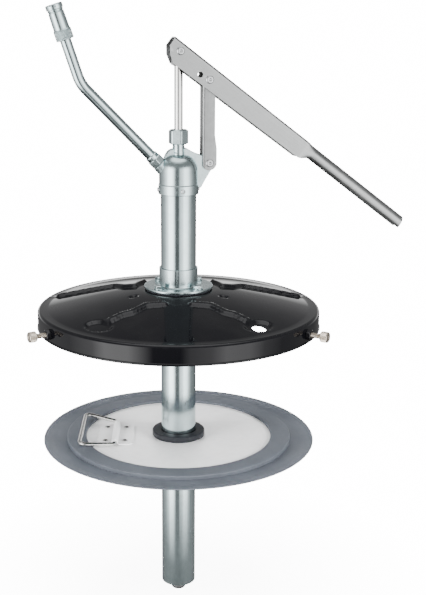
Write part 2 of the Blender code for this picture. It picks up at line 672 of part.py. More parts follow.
def make_outlet():
    bend, coupler, up = coupler_frame()
    start = BOSS_END + FIT
    path = rounded_path([outlet_line(start), bend, coupler + up * PIPE_SEAT], PIPE_BEND_R, 8)
    node("outlet_pipe", swept(path, (0, 1, 0), PIPE_R, PIPE_R - PIPE_WALL), "zinc_plate")
    node("outlet_nut", hex_nut(OUTLET_FLATS, OUTLET_NUT, PIPE_R + FIT), "zinc_plate",
         location=outlet_line(start), outward=outlet_direction())
    seat = PIPE_SEAT + FIT
    socket = COUPLER_BODY - COUPLER_SOCKET
    outline = [(PIPE_R + FIT, 0), (COUPLER_KNURL_R - 0.7 * MM, 0), (COUPLER_KNURL_R, 0.7 * MM),
               (COUPLER_KNURL_R, COUPLER_KNURL), (COUPLER_R, COUPLER_KNURL + 0.9 * MM),
               (COUPLER_R - 0.3 * MM, COUPLER_BODY), (COUPLER_SOCKET_R, COUPLER_BODY),
               (COUPLER_SOCKET_R, socket), (PIPE_R - PIPE_WALL, socket),
               (PIPE_R - PIPE_WALL, seat), (PIPE_R + FIT, seat)]
    node("coupler_body", spun(outline, COUPLER_SIDES), "zinc_plate", location=coupler, outward=up)
    collar = COUPLER_BODY + FIT
    end = collar + COUPLER_COLLAR
    outline = [(COUPLER_MOUTH_R, collar), (COUPLER_COLLAR_R, collar),
               (COUPLER_COLLAR_R, end - 0.7 * MM), (COUPLER_COLLAR_R - 0.7 * MM, end),
               (COUPLER_MOUTH_R + 0.6 * MM, end), (COUPLER_MOUTH_R, end - 0.6 * MM)]
    node("coupler_collar", spun(outline, COUPLER_SIDES), "zinc_plate", location=coupler, outward=up)
    node("coupler_seal", washer(PIPE_R - PIPE_WALL, COUPLER_SOCKET_R - FIT, socket + FIT,
                                socket + FIT + COUPLER_SEAL, SMALL),
         "dark_rubber", location=coupler, outward=up)


# ---------------------------------------------------------------- lever, link and rod

def lever_channel(depth):
    """Outer half outline of the channel, from the foot of one cheek to the middle of the web."""
    half, top, corner = LEVER_WIDTH / 2, LEVER_TOP, LEVER_CORNER
    curve = arc((half - corner, top - corner), corner, 0, 90, 3)
    return [(half, -depth), (half, (top - corner - depth) / 2)] + curve + [(0, top)]


def lever_grip():
    """Outer half outline of the rolled grip: an arc from the seam up to the top."""
    low = degrees(GRIP_SEAM) - 90
    return arc((0, LEVER_TOP - GRIP_R), GRIP_R, low, 90, 6)


def inset_outline(outline, wall):
    """Half outline moved inwards by the wall, each point along its own normal."""
    inner = []
    for k, (y, z) in enumerate(outline):
        a = outline[max(k - 1, 0)]
        b = outline[min(k + 1, len(outline) - 1)]
        length = hypot(b[0] - a[0], b[1] - a[1])
        normal = (-(b[1] - a[1]) / length, (b[0] - a[0]) / length)
        inner.append((y + normal[0] * wall, z + normal[1] * wall))
    inner[-1] = (0, outline[-1][1] - wall)
    return inner


def lever_section(along):
    """Closed section of the lever at a distance from the rod pin, channel turning into grip."""
    share = min(max((along - LEVER_CHANNEL) / LEVER_TAPER, 0.0), 1.0)
    share = share * share * (3 - 2 * share)
    run = min(max(along / LEVER_CHANNEL, 0.0), 1.0)
    depth = LEVER_DEPTH_PIVOT + (LEVER_DEPTH_GRIP - LEVER_DEPTH_PIVOT) * run
    pairs = zip(lever_channel(depth), lever_grip())
    half = [(a[0] + (b[0] - a[0]) * share, a[1] + (b[1] - a[1]) * share) for a, b in pairs]
    inner = inset_outline(half, LEVER_SHEET)
    outer = [(-y, z) for y, z in half] + half[-2::-1]
    lining = inner[:-1] + [(-y, z) for y, z in inner[::-1]]
    return [(along, y, z) for y, z in outer + lining]


def make_lever(lever_axis):
    steps = 6
    stations = [-LEVER_FRONT, 0.0, LEVER_CHANNEL * 0.5, LEVER_CHANNEL]
    stations += [LEVER_CHANNEL + LEVER_TAPER * (k + 1) / steps for k in range(steps)]
    stations += [LEVER_LENGTH]
    lever = node("lever", skinned([lever_section(s) for s in stations]), "satin_steel", lever_axis)
    turn = Vector((cos(LEVER_SLOPE), 0, -sin(LEVER_SLOPE)))
    normal = Vector((sin(LEVER_SLOPE), 0, cos(LEVER_SLOPE)))
    link = LINK_TOP - Vector((0, 0, ROD_PIN_Z))
    pivot = (link.dot(turn), link.dot(normal))
    cuts = []
    for name, spot in (("rod_pin", (0, 0)), ("link_pivot", pivot), ("spare", SPARE_HOLE)):
        cuts.append(tool("lever_%s_hole" % name, rod_between(PIN_BORE_R, -LEVER_WIDTH, LEVER_WIDTH),
                         parent=lever_axis, location=(spot[0], 0, spot[1]), outward=(0, 1, 0)))
    front, deep = -LEVER_FRONT, -LEVER_DEPTH_PIVOT
    nose = [(front - 5 * MM, deep - 5 * MM), (4 * MM, deep - 5 * MM), (2 * MM, deep),
            (-7.2 * MM, deep + 5.6 * MM), (front, deep + 13.6 * MM), (front - 5 * MM, deep + 13.6 * MM)]
    cuts.append(tool("lever_nose_cut", plate(nose, 2 * LEVER_WIDTH), parent=lever_axis))
    combine(lever, cuts, "DIFFERENCE")
    shank = LEVER_SHEET + FIT
    for k, side in enumerate((-1, 1)):
        dome = PIN_HEAD_R - 1 * MM
        shape = spun([(0, -shank), (PIN_R, -shank), (PIN_R, FIT), (PIN_HEAD_R, FIT),
                      (PIN_HEAD_R, FIT + 0.4 * MM), (dome, FIT + PIN_HEAD), (0, FIT + PIN_HEAD)],
                     SMALL)
        node("link_pivot_stud_%d" % (k + 1), shape, "turned_steel", lever_axis,
             (pivot[0], side * LEVER_WIDTH / 2, pivot[1]), outward=(0, side, 0))


def link_outline():
    """Side of the link: a round top about its pivot, straight flanks and a wider round foot."""
    rise = LINK_TOP - EAR_PIN
    foot = EAR_PIN.z
    joggle = LINK_WEB_LOW - 6 * MM
    top = arc((LINK_TOP.x, LINK_TOP.z), LINK_TOP_R, 0, 180, 8)
    bottom = arc((EAR_PIN.x, foot), LINK_FOOT_R, 180, 360, 8)
    low_left = LINK_TOP.x - rise.x - LINK_TOP_R
    return (top + [(low_left - 0.6 * MM, LINK_WEB_LOW), (EAR_PIN.x - LINK_FOOT_R, joggle - 8 * MM)]
            + bottom + [(EAR_PIN.x + LINK_FOOT_R, joggle - 8 * MM),
                        (LINK_TOP.x + LINK_TOP_R, LINK_WEB_LOW)])


def make_link(link_axis):
    away = -EAR_PIN
    link = node("lever_link", plate(link_outline(), LINK_WIDTH), "satin_steel", link_axis, away)
    half = LINK_GAP / 2
    web = LINK_TOP.x - LINK_TOP_R + LINK_SHEET
    far = 80 * MM
    cuts = [tool("link_channel", block((web, -half, 100 * MM), (far, half, 300 * MM)),
                 parent=link_axis, location=away),
            tool("link_fork_low", block((0, -half, 100 * MM), (far, half, LINK_WEB_LOW)),
                 parent=link_axis, location=away),
            tool("link_fork_high", block((0, -half, LINK_WEB_HIGH), (far, half, 300 * MM)),
                 parent=link_axis, location=away)]
    for name, spot in (("foot", Vector((0, 0, 0))), ("top", LINK_TOP - EAR_PIN)):
        cuts.append(tool("link_%s_hole" % name, rod_between(PIN_BORE_R, -LINK_WIDTH, LINK_WIDTH),
                         parent=link_axis, location=spot, outward=(0, 1, 0)))
    combine(link, cuts, "DIFFERENCE")


def make_rod(rod_axis):
    away = Vector((0, 0, -ROD_PIN_Z))
    eye_z = ROD_PIN_Z - EYE_DROP
    outline = arc((0, ROD_PIN_Z), EYE_R, 0, 180, 8) + [(-EYE_R, eye_z), (EYE_R, eye_z)]
    eye = node("rod_eye", plate(outline, EYE_WIDTH), "turned_steel", rod_axis, away)
    combine(eye, [tool("rod_eye_hole", rod_between(PIN_BORE_R, -EYE_WIDTH, EYE_WIDTH),
                       parent=rod_axis, outward=(0, 1, 0))], "DIFFERENCE")
    node("rod_pin", pin_shape(LEVER_WIDTH / 2 + FIT), "turned_steel", rod_axis, outward=(0, 1, 0))
    piston_top = PISTON_Z + PISTON_H
    node("pump_rod", rod_between(ROD_R, piston_top + FIT, eye_z - FIT), "turned_steel", rod_axis,
         away)
    groove = PISTON_R - CUP_DEPTH
    low = PISTON_Z + (PISTON_H - CUP_H) / 2
    high = low + CUP_H
    bore = PRIMER_R + FIT
    outline = [(bore, PISTON_Z), (PISTON_R, PISTON_Z), (PISTON_R, low), (groove, low),
               (groove, high), (PISTON_R, high), (PISTON_R, piston_top), (bore, piston_top)]
    piston = node("piston", spun(outline, MEDIUM), "turned_steel", rod_axis, away)
    cuts = flow_cuts("piston_flow_cut", PISTON_Z - 5 * MM, piston_top + 5 * MM)
    combine(piston, cuts, "DIFFERENCE")
    wall = TUBE_BORE_R - FIT
    lip = 0.8 * MM
    outline = [(groove + FIT, low + FIT), (wall - lip, low + FIT), (wall, low + 2 * lip),
               (wall, high - FIT - lip), (wall - lip, high - FIT), (groove + FIT, high - FIT)]
    node("piston_cup_seal", spun(outline, MEDIUM), "dark_rubber", rod_axis, away)
    node("piston_nut", hex_nut(NUT_FLATS, NUT_H, bore, PISTON_Z - FIT - NUT_H), "zinc_plate",
         rod_axis, away)
    node("piston_valve_plate", washer(ROD_BORE_R, VALVE_R, 0, VALVE_PLATE, SMALL), "turned_steel",
         rod_axis, (0, 0, piston_top + FIT - ROD_PIN_Z))
    disc_z = TUBE_BOTTOM - 1.5 * MM
    node("primer_rod", rod_between(PRIMER_R, disc_z + FIT, piston_top), "turned_steel", rod_axis,
         away)
    outline = [(0, disc_z - PRIMER_DISC), (PRIMER_DISC_R - 2 * MM, disc_z - PRIMER_DISC),
               (PRIMER_DISC_R, disc_z - PRIMER_DISC + 3 * MM), (PRIMER_DISC_R, disc_z), (0, disc_z)]
    node("primer_foot", spun(outline, SMALL), "turned_steel", rod_axis, away)


# ---------------------------------------------------------------- follower plate and bail

def make_follower(follower):
    low = DISC_TOP - DISC_SHEET
    neck = TUBE_FIT_R + COLLAR_NECK
    disc = node("follower_disc", washer(neck + FIT, DISC_R, low, DISC_TOP, LARGE), "sheet_steel",
                follower)
    ring_z = DISC_TOP + FIT
    bevel = 1 * MM
    outline = [(RING_IN_R, ring_z), (DISC_R + FIT, ring_z), (DISC_R + FIT, low),
               (RING_OUT_R, low), (RING_OUT_R, ring_z + RING_H - bevel),
               (RING_OUT_R - bevel, ring_z + RING_H), (RING_IN_R + bevel, ring_z + RING_H),
               (RING_IN_R, ring_z + RING_H - bevel)]
    node("follower_clamp_ring", spun(outline, LARGE), "slate_rubber", follower)
    lip_z = low - FIT
    edge = LIP_R - 1.2 * MM
    outline = [(LIP_IN_R, lip_z - LIP_H), (LIP_R - 18 * MM, lip_z - LIP_H),
               (LIP_R - 0.4 * MM, lip_z + LIP_RISE - 1.6 * MM), (LIP_R, lip_z + LIP_RISE),
               (edge, lip_z + LIP_RISE), (LIP_R - 18 * MM, lip_z), (LIP_IN_R, lip_z)]
    node("follower_lip_seal", spun(outline, LARGE), "slate_rubber", follower)
    outline = [(TUBE_FIT_R, lip_z - COLLAR_FOOT), (COLLAR_R - 2 * MM, lip_z - COLLAR_FOOT),
               (COLLAR_R - 2 * MM, lip_z), (neck, lip_z), (neck, ring_z), (COLLAR_R, ring_z),
               (COLLAR_R, ring_z + COLLAR_H - 1.5 * MM),
               (COLLAR_R - 1.5 * MM, ring_z + COLLAR_H), (TUBE_FIT_R, ring_z + COLLAR_H)]
    node("follower_collar_seal", spun(outline, MEDIUM), "dark_rubber", follower)
    make_bail(follower, disc)


def make_bail(follower, disc):
    strap_z, axle_x = STRAP_Z, bail_axle_x()
    inner = BAIL_R + FIT
    outer = inner + STRAP_SHEET
    half = STRAP_X / 2
    rise = AXLE_Z - strap_z
    outline = ([(-half, 0), (-inner, 0), (-inner, rise)] + arc((0, rise), inner, 180, 0, 6)[1:]
               + [(inner, 0), (half, 0), (half, STRAP_SHEET), (outer, STRAP_SHEET)]
               + arc((0, rise), outer, 0, 180, 6) + [(-outer, STRAP_SHEET), (-half, STRAP_SHEET)])
    place = Vector((axle_x, BAIL_Y, strap_z))
    strap = node("bail_strap", plate(outline, STRAP_Y), "sheet_steel", follower, place)
    spots = [(axle_x + x * RIVET_X / 2, BAIL_Y + y * RIVET_Y / 2) for y in (-1, 1) for x in (-1, 1)]
    head_z = strap_z + STRAP_SHEET + FIT
    foot_z = DISC_TOP - DISC_SHEET
    for k, (x, y) in enumerate(spots):
        for piece in (strap, disc):
            combine(piece, [tool("%s_rivet_cut_%d" % (piece.name, k + 1),
                                 rod_between(RIVET_R + FIT, -5 * MM, 5 * MM, HOLE_SIDES), parent=follower,
                                 location=(x, y, strap_z))], "DIFFERENCE")
        shape = spun([(0, foot_z), (RIVET_R, foot_z), (RIVET_R, head_z), (RIVET_HEAD_R, head_z),
                      (RIVET_HEAD_R - 0.4 * MM, head_z + RIVET_HEAD * 0.6),
                      (RIVET_HEAD_R - 1.6 * MM, head_z + RIVET_HEAD), (0, head_z + RIVET_HEAD)], HOLE_SIDES)
        node("bail_rivet_%d" % (k + 1), shape, "bright_wire", follower, (x, y, 0))
    axle = empty("bail_axle", (axle_x, BAIL_Y, AXLE_Z), (0, bail_lift(), 0), follower)
    corners = [Vector((0, -BAIL_AXLE / 2, 0)), Vector((-BAIL_REACH, -BAIL_SPREAD / 2, 0)),
               Vector((-BAIL_REACH, BAIL_SPREAD / 2, 0)), Vector((0, BAIL_AXLE / 2, 0))]
    path = rounded_path(corners, BAIL_CORNER, 5, closed=True)
    node("bail_wire", swept(path, (0, 0, 1), BAIL_R, loop=True, sides=12), "bright_wire", axle)


def main():
    for old in list(bpy.data.objects):
        bpy.data.objects.remove(old)
    pattern = empty("cover_pattern", turn=(0, 0, PATTERN_TURN))
    follower = empty("follower_guide", turn=(0, 0, PATTERN_TURN))
    rod_axis = empty("rod_pin_axis", (0, 0, ROD_PIN_Z))
    lever_axis = empty("lever_axis", (0, 0, ROD_PIN_Z), (0, LEVER_SLOPE, 0))
    link_axis = empty("link_axis", EAR_PIN)
    make_cover(pattern)
    make_flange(pattern)
    make_thumb_screws(pattern)
    make_barrel()
    make_head()
    make_outlet()
    make_lever(lever_axis)
    make_link(link_axis)
    make_rod(rod_axis)
    make_follower(follower)


main()
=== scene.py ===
"""Looks of a hand lever grease filler pump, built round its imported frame.

Every surface is worked out as whole arrays: a shape is a function of two parameters on a grid, or a profile
carried along a path. Metres, +Z up, the origin on the pump's axis and level with the rim of the drum cover.
"""
from math import asin, cos, pi, radians, sin, tan

import bmesh
import bpy
import numpy as np
from bpy.props import FloatProperty, FloatVectorProperty, IntProperty, PointerProperty
from bpy.types import Operator, Panel, PropertyGroup
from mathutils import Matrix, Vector


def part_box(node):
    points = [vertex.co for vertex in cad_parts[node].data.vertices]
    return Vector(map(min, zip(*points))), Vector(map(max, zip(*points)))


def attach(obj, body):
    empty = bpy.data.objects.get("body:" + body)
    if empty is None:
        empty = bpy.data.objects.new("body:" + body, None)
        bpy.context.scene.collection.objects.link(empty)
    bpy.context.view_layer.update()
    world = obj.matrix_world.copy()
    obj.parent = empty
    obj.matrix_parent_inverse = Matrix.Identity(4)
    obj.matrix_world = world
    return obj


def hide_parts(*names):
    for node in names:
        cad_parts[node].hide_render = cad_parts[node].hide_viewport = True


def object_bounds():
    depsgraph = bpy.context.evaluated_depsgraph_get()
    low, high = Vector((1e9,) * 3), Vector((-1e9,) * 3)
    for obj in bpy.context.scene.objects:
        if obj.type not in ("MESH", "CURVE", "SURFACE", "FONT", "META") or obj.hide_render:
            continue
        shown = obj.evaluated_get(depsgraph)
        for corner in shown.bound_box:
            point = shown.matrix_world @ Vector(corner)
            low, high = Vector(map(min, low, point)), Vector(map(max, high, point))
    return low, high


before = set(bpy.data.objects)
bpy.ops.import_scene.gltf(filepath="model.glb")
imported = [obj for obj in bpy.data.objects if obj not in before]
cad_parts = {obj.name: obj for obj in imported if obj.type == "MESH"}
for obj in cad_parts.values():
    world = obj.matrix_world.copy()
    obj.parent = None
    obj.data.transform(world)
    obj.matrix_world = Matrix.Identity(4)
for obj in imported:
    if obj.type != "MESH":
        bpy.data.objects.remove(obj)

bl_info = {
    "name": "Grease Filler Pump",
    "version": (1, 0, 0),
    "blender": (4, 5, 0),
    "location": "3D View > Sidebar > Pump",
    "description": "Fine surfaces, finishes and studio of a hand lever grease filler pump",
    "category": "Add Mesh",
}

MM = 0.001
CAD_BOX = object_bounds()
FIT = 0.3 * MM              # gap between neighbours, as in the frame

# Places and sizes read from the frame
TUBE_LOW, TUBE_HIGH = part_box("pump_tube")
HEAD_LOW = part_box("pump_head")[0]
ROD_LOW, ROD_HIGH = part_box("pump_rod")
GLAND_LOW, GLAND_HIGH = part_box("gland_nut")
FLANGE_LOW, FLANGE_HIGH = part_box("cover_flange")
DISC_LOW, DISC_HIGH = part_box("follower_disc")
FOOT_LOW, FOOT_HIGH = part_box("primer_foot")
TUBE_R = TUBE_HIGH.x
ROD_R = ROD_HIGH.x
TUBE_FIT_R = TUBE_R + FIT

# Design values of the pieces that this script shapes again
PATTERN_TURN = radians(-13)     # the cover and the follower are turned against the lever's plane
COVER_R = 167.5 * MM
COVER_SHEET = 1.2 * MM
COVER_SKIRT = 23 * MM
COVER_CORNER = 4 * MM
COVER_RISE = 21 * MM
COVER_BORE_R = TUBE_R + 3 * MM
CROWN_POWER = 1.25
SEAT_R = 43 * MM
RIM_R = 156 * MM
VENT = (radians(-50), 138 * MM, 8 * MM)                  # angle, distance from the axis, radius
DIMPLES = ((radians(-31), 61 * MM), (radians(-149), 61 * MM))  # angle, distance from the axis
DIMPLE_R = 4.6 * MM
DIMPLE_SLOPE = 2.4 * MM     # width of the soft step at a dimple's edge
RIB_SLOPE = 4.4 * MM        # and at a rib's side
PAD_SLOPE = 0.25            # and at a pad's edge, as a share of its size
HOLLOW_SHARE = 0.8          # depth of a pad or dimple as a share of a rib's height
THUMB_ANGLES = (radians(-150), radians(-30), radians(90))
THUMB_DROP = 12 * MM
THUMB_R = 3 * MM
KNOB_R = 6.2 * MM
KNOB_START = 16 * MM            # knob's inner face beyond the skirt
KNOB_END = 25 * MM
BOSS_R = 6.5 * MM
BOSS_LENGTH = 5 * MM
COLLAR_R = 22.9 * MM            # flange's collar round the barrel
FLANGE_R = 40.6 * MM
FLANGE_PLATE = 3 * MM
BOLT_HALF = 5 * MM
BOLT_SHANK_R = 3 * MM
BOLT_HEAD = 4 * MM
BAND_R = 23.5 * MM              # band and wall of the head
WALL_R = 22.8 * MM
BAND_TOP = HEAD_LOW.z + 11 * MM
SHOULDER_Z = 161 * MM
DOME_TOP = 180 * MM
NECK_R = 7.2 * MM
NECK_TOP = 199 * MM
GLAND_HALF = 10.25 * MM
GLAND_TURN = radians(-25)
OUTLET_FOOT = 146 * MM          # outlet's line meets the pump's axis here
OUTLET_TILT = radians(45.9)
BOSS_END = WALL_R / cos(OUTLET_TILT) + 0.25 * MM
OUTLET_BOSS_R = 8.2 * MM
OUTLET_NUT = 13.7 * MM
PIPE_R = 6.35 * MM
PIPE_RUN = 161 * MM
PIPE_TILT = radians(71.9)
PIPE_RISE = 50.4 * MM
PIPE_BEND_R = 40 * MM
COUPLER_BODY = 34 * MM
COUPLER_END = 40 * MM
ROD_PIN_Z = 297 * MM
EAR_PIN = np.array((35, 0, 170)) * MM
LINK_TOP = np.array((34, 0, 265)) * MM
PIN_R = 3 * MM
PIN_HEAD_R = 4.6 * MM
PIN_HEAD = 1.3 * MM
LEVER_SLOPE = radians(37)
LEVER_HALF = 11 * MM
LEVER_SHEET = 2 * MM
LEVER_TOP = 9.4 * MM
LEVER_DEPTHS = (16 * MM, 13.2 * MM)
LEVER_CHANNEL = 186.5 * MM
LEVER_TAPER = 16 * MM
LEVER_END = 346.5 * MM
LEVER_BEND = 3.5 * MM
GRIP_R = 9.1 * MM
GRIP_SEAM = radians(50)
SPARE_HOLE = (34.2 * MM, -7.2 * MM)
LINK_HALF = 8.6 * MM
LINK_SHEET = 2 * MM
LINK_TOP_R = 7.4 * MM
LINK_FOOT_R = 8.5 * MM
LINK_WEB = (200 * MM, 257 * MM)
RING_IN_R, RING_OUT_R, RING_H = 112.9 * MM, 136.5 * MM, 3 * MM
LIP_R, LIP_IN_R, LIP_H, LIP_RISE = 164.6 * MM, 100 * MM, 3 * MM, 2.2 * MM
FOLLOWER_COLLAR_R, FOLLOWER_COLLAR_H = 32 * MM, 7 * MM
STRAP_X, STRAP_Y, STRAP_SHEET = 43 * MM, 66 * MM, 1.2 * MM
BAIL_R, BAIL_Y = 2.5 * MM, -4.5 * MM
BAIL_AXLE, BAIL_SPREAD, BAIL_REACH, BAIL_CORNER = 76 * MM, 104 * MM, 41.5 * MM, 7 * MM
BAIL_PLACE = 0.73
BAIL_Z = DISC_HIGH.z + FIT + BAIL_R + FIT


# ---------------------------------------------------------------- what a user would change

class PumpSurfaceSettings(PropertyGroup):
    """Sizes of the fine detail on the surfaces."""
    rib_depth: FloatProperty(name="Rib depth", description="How deep the ribs are pressed into the cover",
                             default=3.8 * MM, unit="LENGTH")
    rib_half: FloatProperty(name="Rib half width", description="Half the width of a pressed rib",
                            default=4.6 * MM, unit="LENGTH")
    knurl_depth: FloatProperty(name="Knurl depth", description="Depth of the grooves on knobs and coupler",
                               default=0.35 * MM, unit="LENGTH")
    thread_pitch: FloatProperty(name="Thread pitch", description="Pitch of the threads on neck and screws",
                                default=1.25 * MM, unit="LENGTH")
    round_sides: IntProperty(name="Round sides", description="Columns of faces round a turned piece",
                             default=96, min=24)


class PumpFinishSettings(PropertyGroup):
    """Colours of the finishes."""
    zinc: FloatVectorProperty(name="Zinc plate", description="Bright zinc with a cool tint",
                              default=(0.56, 0.67, 0.685), subtype="COLOR")
    satin: FloatVectorProperty(name="Satin steel", description="Satin plated lever and link",
                               default=(0.345, 0.353, 0.353), subtype="COLOR")
    enamel: FloatVectorProperty(name="Black enamel", description="Gloss enamel of the drum cover",
                                default=(0.0015, 0.0015, 0.002), subtype="COLOR")
    slate: FloatVectorProperty(name="Slate rubber", description="Follower's lip and clamp ring",
                               default=(0.048, 0.054, 0.064), subtype="COLOR")
    rubber: FloatVectorProperty(name="Dark rubber", description="Follower's collar and the seals",
                                default=(0.008, 0.009, 0.011), subtype="COLOR")
    sheet: FloatVectorProperty(name="Rolled sheet", description="Follower's disc and the bail's strap",
                               default=(0.84, 0.845, 0.85), subtype="COLOR")
    nickel: FloatVectorProperty(name="Nickel plate", description="Thumb screws",
                                default=(0.66, 0.59, 0.50), subtype="COLOR")
    wire: FloatVectorProperty(name="Bright wire", description="Bail and rivets",
                              default=(0.80, 0.80, 0.78), subtype="COLOR")
    turned: FloatVectorProperty(name="Turned steel", description="Rod, pins and valve parts",
                                default=(0.56, 0.57, 0.58), subtype="COLOR")


class PumpStageSettings(PropertyGroup):
    """Camera, floor and light."""
    lens: FloatProperty(name="Lens", description="Focal length, on a 36 mm sensor", default=66.13)
    distance: FloatProperty(name="Distance", description="Camera's distance from the pump's axis",
                            default=1.2636, unit="LENGTH")
    height: FloatProperty(name="Height", description="Camera's height above the cover's rim",
                          default=0.3338, unit="LENGTH")
    azimuth: FloatProperty(name="Azimuth", description="Camera's angle round the pump",
                           default=radians(-13), unit="ROTATION")
    pitch: FloatProperty(name="Pitch", description="How far the camera looks down", default=0.2513,
                         unit="ROTATION")
    floor: FloatVectorProperty(name="Floor", description="Colour of the floor", default=(0.93, 0.93, 0.93),
                               subtype="COLOR")


# ---------------------------------------------------------------- surfaces from arrays

def upright(origin=(0, 0, 0), turn=0.0):
    """Frame with Z up, turned about Z: its place, and its axes as rows."""
    axes = np.array(((cos(turn), sin(turn), 0), (-sin(turn), cos(turn), 0), (0, 0, 1)))
    return np.array(origin, float), axes


def aimed(origin, out, side=(0, 0, 1)):
    """Frame whose Z runs along out, and whose X is the part of side that is square to it."""
    z = np.array(out, float) / np.linalg.norm(out)
    x = np.array(side, float) - z * np.dot(side, z)
    x = x / np.linalg.norm(x)
    return np.array(origin, float), np.array((x, np.cross(z, x), z))


def inside(outer, local):
    """Frame given in another frame's own axes, as a frame in the pump's axes."""
    return local[0] @ outer[1] + outer[0], local[1] @ outer[1]


def tilted(origin, angle):
    """Frame turned about Y, so that its X points down by the angle."""
    return np.array(origin, float), np.array(((cos(angle), 0, -sin(angle)), (0, 1, 0),
                                              (sin(angle), 0, cos(angle))))


WORLD = upright()
PATTERN = upright(turn=PATTERN_TURN)
LEVER = tilted((0, 0, ROD_PIN_Z), LEVER_SLOPE)
OUTLET = np.array((-cos(OUTLET_TILT), 0, sin(OUTLET_TILT)))
SPOUT = np.array((-cos(PIPE_TILT), 0, sin(PIPE_TILT)))
OUTLET_ROOT = np.array((0, 0, OUTLET_FOOT))
COUPLER = OUTLET_ROOT + OUTLET * PIPE_RUN + SPOUT * PIPE_RISE


def smooth(share):
    """Soft step: three times the square less twice the cube, flat below 0 and above 1."""
    share = np.clip(share, 0.0, 1.0)
    return share * share * (3 - 2 * share)


def outward(angle):
    """Level direction at an angle round Z."""
    return np.array((cos(angle), sin(angle), 0))


def angles_round(sides):
    """Angle of each column of a round piece."""
    return np.arange(sides) * 2 * pi / sides


def quadratic(start, pull, end, t):
    """Quadratic curve from start to end that leans towards a third point."""
    return (1 - t) ** 2 * start + 2 * t * (1 - t) * pull + t ** 2 * end


def softened(outline, radius, steps=5, closed=True):
    """Round each corner of an outline: a quadratic curve from one side's point to the other's, each
    the radius away from the corner, or less than half of the side."""
    corner = np.array(outline, float)
    back = np.roll(corner, 1, 0) - corner
    ahead = np.roll(corner, -1, 0) - corner
    back_length = np.linalg.norm(back, axis=1, keepdims=True)
    ahead_length = np.linalg.norm(ahead, axis=1, keepdims=True)
    cut = np.minimum(np.broadcast_to(np.reshape(radius, (-1, 1)), back_length.shape),
                     0.48 * np.minimum(back_length, ahead_length))
    if not closed:
        cut[[0, -1]] = 0.0
    start = corner + back / back_length * cut
    end = corner + ahead / ahead_length * cut
    t = np.linspace(0, 1, steps)[None, :, None]
    return quadratic(start[:, None], corner[:, None], end[:, None], t).reshape(-1, 2)


def refined(outline, step):
    """The same polyline with points no further apart than the step, linear along its length."""
    gaps = np.linalg.norm(np.diff(outline, axis=0), axis=1)
    along = np.concatenate(([0.0], np.cumsum(gaps)))
    spots = np.unique(np.concatenate((along, np.arange(0, along[-1], step))))
    return np.stack([np.interp(spots, along, outline[:, k]) for k in (0, 1)], -1)


def round_skin(radius, angle, height, closed=True):
    """Skin from radius and height on a grid, with an angle for each column."""
    grid = np.broadcast_arrays(radius * np.cos(angle), radius * np.sin(angle), height)
    return np.stack(grid, -1), closed, True, False


def capped_skin(x, y, z):
    """Skin from its coordinates on one grid: the columns close, and both ends are capped."""
    return np.stack(np.broadcast_arrays(x, y, z), -1), False, True, True


def turned(outline, sides=None, relief=None, closed=True):
    """Turned surface: a point of the outline, (radius, height), goes round Z. Relief is a function of
    height and angle that is added to the radius."""
    sides = sides or bpy.context.scene.pump_surface.round_sides
    outline = np.array(outline, float)
    angle = angles_round(sides)[None, :]
    radius = np.broadcast_to(outline[:, :1], (len(outline), sides))
    height = np.broadcast_to(outline[:, 1:], radius.shape)
    if relief is not None:
        radius = radius + relief(radius, height, angle)
    return round_skin(radius, angle, height, closed)


def hexed(rows, sides=96, closed=True):
    """Rows of (half size, share of hexagon, height, chamfer) round Z. A hexagon's radius is its half size
    over the cosine of the angle from the middle of the flat, cut off just short of the corner; chamfer is
    how much lower the row runs for each unit that the radius passes the half size."""
    size, share, height, chamfer = np.array(rows, float).T[:, :, None]
    angle = angles_round(sides)[None, :]
    corner = np.minimum(size / np.cos(angle % (pi / 3) - pi / 6), size * 1.135)
    radius = size + share * (corner - size)
    return round_skin(radius, angle, height - chamfer * (corner - size), closed)


def swept(path, across, section, closed=False):
    """Section, as (sideways, across) pairs, carried along a flat path. Sideways is the path's tangent
    crossed with the normal of its plane."""
    path = np.array(path, float)
    if closed:
        tangent = np.roll(path, -1, 0) - np.roll(path, 1, 0)
    else:
        tangent = np.gradient(path, axis=0)
    tangent = tangent / np.linalg.norm(tangent, axis=1, keepdims=True)
    side = np.cross(tangent, across)
    section = np.array(section, float)
    grid = (path[:, None] + section[None, :, :1] * side[:, None]
            + section[None, :, 1:] * np.array(across, float)[None, None])
    return grid, closed, True, not closed


def slab(outline, low, high):
    """Flat plate between two widths: an outline of (x, z) pairs moved along Y, and capped."""
    x, z = np.array(outline, float).T[:, None]
    return capped_skin(x, np.array((low, high))[:, None], z)


def circle(radius, sides=32):
    """Round section of a wire or pipe."""
    angle = angles_round(sides)
    return np.stack((radius * np.cos(angle), radius * np.sin(angle)), -1)


def arc(centre, radius, start, end, steps=16):
    """Points on an arc, angles in degrees; radius may be a pair for an ellipse."""
    angle = np.radians(np.linspace(start, end, steps + 1))
    rx, ry = radius if isinstance(radius, tuple) else (radius, radius)
    return np.stack((centre[0] + rx * np.cos(angle), centre[1] + ry * np.sin(angle)), -1)


def faces_of(rows, cols, wrap_rows, wrap_cols):
    """Quads between neighbouring rows and columns of a grid, as an array of point numbers."""
    spots = np.arange(rows * cols).reshape(rows, cols)
    if wrap_rows:
        spots = np.vstack((spots, spots[:1]))
    if wrap_cols:
        spots = np.hstack((spots, spots[:, :1]))
    quads = (spots[:-1, :-1], spots[:-1, 1:], spots[1:, 1:], spots[1:, :-1])
    return np.stack(quads, -1).reshape(-1, 4)


